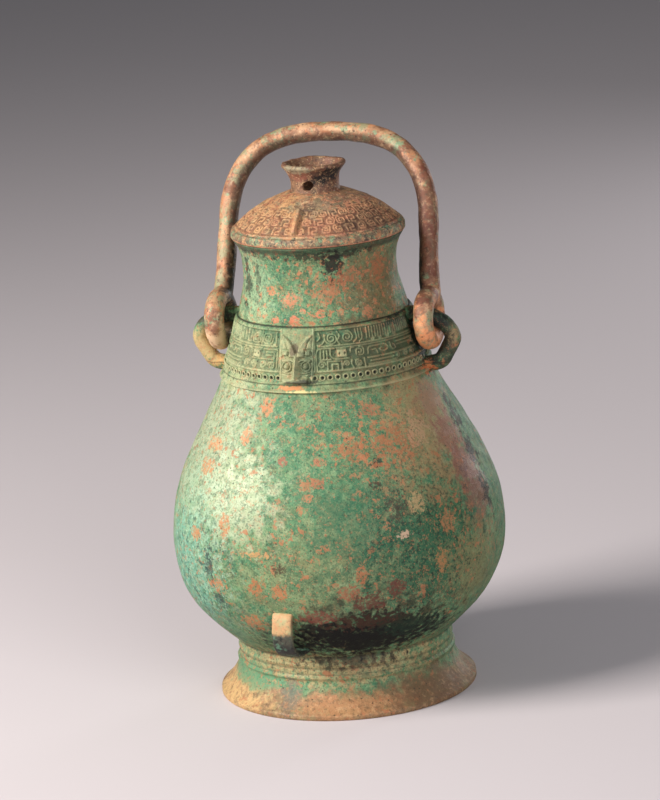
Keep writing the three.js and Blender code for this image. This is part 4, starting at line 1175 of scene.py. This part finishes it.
def makeLoopMaterial():
    patina = Patina("loopPatina", (178, 142, 100), 0.6, 0.08)
    patina.specks((150, 160, 118), 5, 0.53, 9, 0.06, 0.6)
    patina.specks((190, 118, 84), 2.2, 0.57, 23, 0.05, 0.5)
    patina.specks((96, 92, 62), 1.6, 0.58, 29, 0.05, 0.45)
    lower = patina.between(30, 62.5, 1.6, 1.2, 6)
    patina.over(lower, (38, 50, 46), 0.92)
    patina.over(patina.between(30, 55, 2.5, 2, 6), (26, 24, 23), 0.85)
    patina.specks((92, 134, 108), 4, 0.57, 19, 0.05, 0.6, lower)
    patina.specks((14, 16, 15), 3, 0.55, 39, 0.04, 0.8, lower)
    patina.patch((90, 88, 64), (0, -100, 64), (1.6, 12, 14), 0.3, 3, 0.3, 0.7)       # olive right side
    patina.patch((196, 112, 66), (1, -90, 58), (6, 7, 6), 0.4, 3, 0.25, 0.9)
    return patina.finish(4, 0.9, 3.0, 0.4)


loopBronze = makeLoopMaterial()
handIn(makeLoop(), "vessel", "vessel_bronze", "vessel")

# Lid

lid = {
    "gap": 0.3, "radius": 54.1, "rimHeight": 4, "wall": 3, "domeHeight": 27,
    "tongueDepth": 8, "tongueClearance": 0.8,
    "waistRadius": 15, "knobRadius": 19.6, "knobHeight": 17, "knobWall": 3.4, "hole": 6.6,
    "columns": 600, "domeStep": 0.5, "scrollRows": (8.5, 15.2, 21.9), "scrollCount": 38, "scrollSize": 3.0,
    "strokeWidth": 0.95, "strokeProud": 0.75, "finFoot": 5.5, "finHead": 26, "finProud": 3, "finThick": 2.6,
}
lidFoot = body["mouthLevel"] + lid["gap"]
domeTop = lidFoot + lid["domeHeight"]
domeCurve = [(lid["radius"] - 0.6, lidFoot + lid["rimHeight"]),
             (0.66 * lid["radius"], domeTop - 0.2 * lid["domeHeight"]), (lid["waistRadius"], domeTop)]
domeLine = evenly(bezier(domeCurve, 200), lid["domeStep"])
domeRun = np.concatenate([[0], np.cumsum(np.linalg.norm(np.diff(domeLine, axis=0), axis=1))])


def lidRelief(angle):
    # the raised lines, scrolls and fins of the dome: rows follow domeLine
    p = lid
    run = domeRun[:, None] + 0 * angle
    radius = domeLine[:, :1] + 0 * angle
    signed = (angle + 180) % 360 - 180 + 0 * run
    relief = bump(run, 1.2, 0.8, 0.7)
    strokes = np.zeros(run.shape)
    pitch = 360 / p["scrollCount"]
    for row, middle in enumerate(p["scrollRows"]):
        cell = np.floor(signed / pitch + 0.5 * (row % 2))
        x = np.radians((signed / pitch + 0.5 * (row % 2) - cell - 0.5) * pitch) * radius
        y = run - middle
        motifs = [scroll(0, 0, p["scrollSize"], 1.7, 90, 1, 5), scroll(0, 0, p["scrollSize"], 1.7, 90, -1, 5),
                  path((-2.4, -2.6), (-2.4, 2.6), (2.2, 2.6), (2.2, -0.4), (-0.4, -0.4), (-0.4, -2.6),
                       (2.4, -2.6))]
        for kind, motif in enumerate(motifs):
            here = ((cell.astype(int) * 2 + row) % 3 == kind) & (np.abs(y) < 4.5)
            line = raised(nearest(x[here], y[here], motif), p["strokeWidth"], 0.5)
            strokes[here] = np.maximum(strokes[here], line)
    zone = smoothstep((run - 4.2) / 0.8) * smoothstep((25.8 - run) / 0.8)
    border = bump(run, 3.8, 0.5, 1.0) + bump(run, 25.9, 0.45, 0.6)
    relief = relief - 0.35 * zone + p["strokeProud"] * strokes * zone + 0.7 * border
    fade = smoothstep(np.abs(np.abs(signed) - 90) / 3 + 1)
    across = np.radians(np.where(np.abs(signed) > 90, (signed % 360) - 180, signed)) * radius
    onFin = smoothstep((run - p["finFoot"] + 0.5) / 1.2) * smoothstep((p["finHead"] - run) / 1.5)
    fin = p["finProud"] * raised(np.abs(across), p["finThick"], 0.8) * onFin
    plain = raised(np.abs(across), 2 * p["finThick"] + 2.4, 1.2) * onFin
    relief = np.maximum(relief * fade * (1 - 0.8 * plain), fin)
    hollow = zone * (1 - strokes) * (1 - plain)
    worn = np.clip(strokes * zone + fin / p["finProud"], 0, 1)
    return relief, hollow, worn


def makeLid():
    p = lid
    tongue = float(radiusAt(body["mouthLevel"] - p["tongueDepth"])) - body["wall"] - p["tongueClearance"]
    tongueInside, tongueFoot = tongue - p["wall"], lidFoot - p["tongueDepth"]
    below = [(0, domeTop - p["wall"] - 0.4)]
    below += [(r, z - p["wall"]) for r, z in domeLine[::-12] if r < tongueInside - 0.6]
    below += [(tongueInside, lidFoot + 2), (tongueInside, tongueFoot), (tongue - 0.4, tongueFoot),
              (tongue, tongueFoot + 0.5), (tongue, lidFoot)]
    edge = p["radius"]
    rim = [(edge - 0.6, lidFoot), (edge, lidFoot + 0.6), (edge, lidFoot + p["rimHeight"] - 0.5)]
    head = [(r, domeTop + 0.1) for r in (12, 8, 4)]
    profile = np.vstack([below, rim, domeLine, head, [(0, domeTop + 0.1)]])
    start = len(below) + len(rim) - 1              # row of the dome's first point, less the pole
    angle = np.linspace(0, 360, p["columns"], endpoint=False)[None, :]
    relief, hollow, worn = lidRelief(angle)

    def offsets(radius, height, turn, run):
        push = np.zeros(radius.shape)
        push[start:start + len(domeLine)] = relief
        spin = np.radians(turn) + 0 * height
        places = around(radius, spin, height).reshape(-1, 3)
        skin = grains(places, (24, 0.5), (6, 0.2)).reshape(height.shape)
        dent = -1.1 * np.exp(-((places[:, 0] + 2) ** 2 + (places[:, 1] + 28) ** 2) / 9).reshape(height.shape)
        on = (np.arange(len(radius)) >= len(below))[:, None]
        return push + np.where(on, skin + dent, 0)

    vertices, faces = turned(profile, p["columns"], offsets)
    marks = {}
    for label, values in (("hollow", hollow), ("worn", worn)):
        whole = np.zeros((len(profile) - 2, p["columns"]))
        whole[start:start + len(domeLine)] = values
        marks[label] = np.append(whole.ravel(), [0, 0])
    return makePiece("lidShell", vertices, Faces(faces), lidBronze, marks)


def makeKnob():
    p = lid
    top = domeTop + p["knobHeight"]
    waist, edge, wall, foot = p["waistRadius"], p["knobRadius"], p["knobWall"], domeTop - 1.4
    side = evenly(bezier([(waist + 0.8, foot), (waist - 2.4, domeTop + 0.45 * p["knobHeight"]),
                          (edge, top - 2)], 40), 0.6)
    inner = evenly([(edge - wall, top - 0.8), (waist - wall, domeTop + 0.4 * p["knobHeight"]),
                    (waist - wall, foot)], 0.8)
    rim = [(edge + 0.1, top - 1), (edge - 0.5, top), (edge - wall + 1, top)]
    profile = np.vstack([side, rim, inner])

    def offsets(radius, height, turn, run):
        spin = np.radians(turn) + 0 * height
        places = around(radius, spin, height).reshape(-1, 3)
        return grains(places, (16, 0.7), (5, 0.35), (2, 0.12)).reshape(height.shape)

    vertices, faces = turned(profile, 200, offsets, closed=True)
    knob = makePiece("lidKnob", vertices, Faces(faces), lidBronze)
    spin = np.radians(np.arange(18) * 20)
    ring = p["hole"] / 2 * (1 + 0.12 * np.sin(2 * spin + 0.6) + 0.06 * np.cos(5 * spin))
    level = domeTop + 0.25 * p["knobHeight"]
    ends = [(x, y, z) for y in (-30, 30) for x, z in zip(ring * np.cos(spin), level + ring * np.sin(spin))]
    sides = [[k, 18 + k, 18 + (k + 1) % 18, (k + 1) % 18] for k in range(18)]
    sides += [list(range(18)), list(range(18, 36))[::-1]]
    drill = makePiece("drill", ends, Faces(sides), lidBronze)
    cut = knob.modifiers.new("hole", "BOOLEAN")
    cut.operation, cut.object, cut.solver = "DIFFERENCE", drill, "EXACT"
    settle(knob)
    bpy.data.objects.remove(drill)
    return knob


handIn(makeLid(), "vessel", "lid_bronze", "lid")
handIn(makeKnob(), "vessel", "lid_bronze", "lid")

# Handle

handle = {"rod": 12.4, "ringHeight": 39.4, "ringReach": 67.8, "level": 236.2, "reach": 65.8, "shoulder": 54,
          "height": 121.5, "exponent": 2.7, "skew": -0.06, "lean": 28, "voxel": 0.75}


def makeHandle():
    h = handle
    ringRadius = (h["ringHeight"] - h["rod"]) / 2
    rise = h["height"] - h["shoulder"]
    power = 2 / h["exponent"]
    angles = np.radians(np.linspace(0, 180, 13))
    arch = [(math.copysign(h["reach"] * abs(math.cos(a)) ** power, math.cos(a)),
             h["shoulder"] + rise * abs(math.sin(a)) ** power) for a in angles]
    leg = [(h["ringReach"], ringRadius), (h["reach"] + 0.4, ringRadius + 0.35 * h["shoulder"])]
    flat = [*leg, *arch, *[(-x, z) for x, z in leg[::-1]]]
    line = smoothLine([(x + h["skew"] * (z - ringRadius), 0, z) for x, z in flat], 8)
    points, edges = [line], chain(len(line))
    spin = np.radians(np.arange(48) * 7.5)
    for side in (1, -1):
        edges += chain(48, True, sum(len(p) for p in points))
        across = np.full(48, side * h["ringReach"])
        points.append(np.stack([across, ringRadius * np.cos(spin), ringRadius * np.sin(spin)], -1))
    tilt = np.array(Matrix.Rotation(math.radians(-h["lean"]), 3, "X"))
    places = np.vstack(points) @ tilt.T + (0, 0, h["level"])
    bail = grow("handleBail", places, edges, rodTree, {
        "Rod Radius": h["rod"] / 2 * mm, "Spacing": 1.2 * mm, "Sides": 36, "Finish": handleBronze})
    remeshed(bail, h["voxel"])
    roughen(bail, (22, 0.5), (8, 0.35), (2.6, 0.12))
    places, normals = placesAndNormals(bail.data)
    flatPlaces = (places / mm - (0, 0, h["level"])) @ tilt            # back in the handle's own plane
    flatNormals = normals @ tilt
    # the sides turned towards the middle and down get dark patina and painted shade
    inward = np.stack([-flatPlaces[:, 0], 0 * flatPlaces[:, 0], np.minimum(40 - flatPlaces[:, 2], 0)], -1)
    inward /= np.maximum(np.linalg.norm(inward, axis=1, keepdims=True), 1e-6)
    facing = smoothstep(((flatNormals * inward).sum(1) - 0.15) / 0.5) * (flatPlaces[:, 2] > ringRadius)
    mark(bail.data, "inner", facing)
    return bail


handIn(makeHandle(), "handle", "handle_bronze", "handle")


# Floor and light

stage = {"floor": (196, 188, 192), "floorReach": 14000, "keyPower": 76, "fillPower": 30,
         "rimPower": 8, "worldLight": 0.14}


def makeFloor():
    material = bpy.data.materials.new("paleFloor")
    material.use_nodes = True
    shader = material.node_tree.nodes["Principled BSDF"]
    shader.inputs["Base Color"].default_value = tint(*stage["floor"])
    shader.inputs["Roughness"].default_value = 0.9
    far = stage["floorReach"]
    corners = [(-far, -far, 0), (far, -far, 0), (far, far, 0), (-far, far, 0)]
    makePiece("floor", corners, Faces([[0, 1, 2, 3]]), material)


def makeLight(name, power, size, place, target=(0, 0, 160), colour=(1, 1, 1)):
    data = bpy.data.lights.new(name, "AREA")
    data.energy, data.size, data.color = power, size, colour
    light = bpy.data.objects.new(name, data)
    bpy.context.scene.collection.objects.link(light)
    light.location = Vector(place) * mm
    light.rotation_euler = (Vector(target) - Vector(place)).to_track_quat("-Z", "Y").to_euler()


def makeStudio():
    world = bpy.data.worlds.new("softRoom")
    world.use_nodes = True
    world.node_tree.nodes["Background"].inputs["Color"].default_value = (0.9, 0.95, 1, 1)
    world.node_tree.nodes["Background"].inputs["Strength"].default_value = stage["worldLight"]
    bpy.context.scene.world = world
    bpy.context.scene.view_settings.view_transform = "Standard"
    makeLight("key", stage["keyPower"], 0.9, (-1300, -1150, 1250), colour=(1, 0.96, 0.9))
    makeLight("fill", stage["fillPower"], 1.4, (1400, -1600, 900))
    makeLight("rim", stage["rimPower"], 0.4, (780, 1840, 420))


makeFloor()
makeStudio()
print("stage ready")
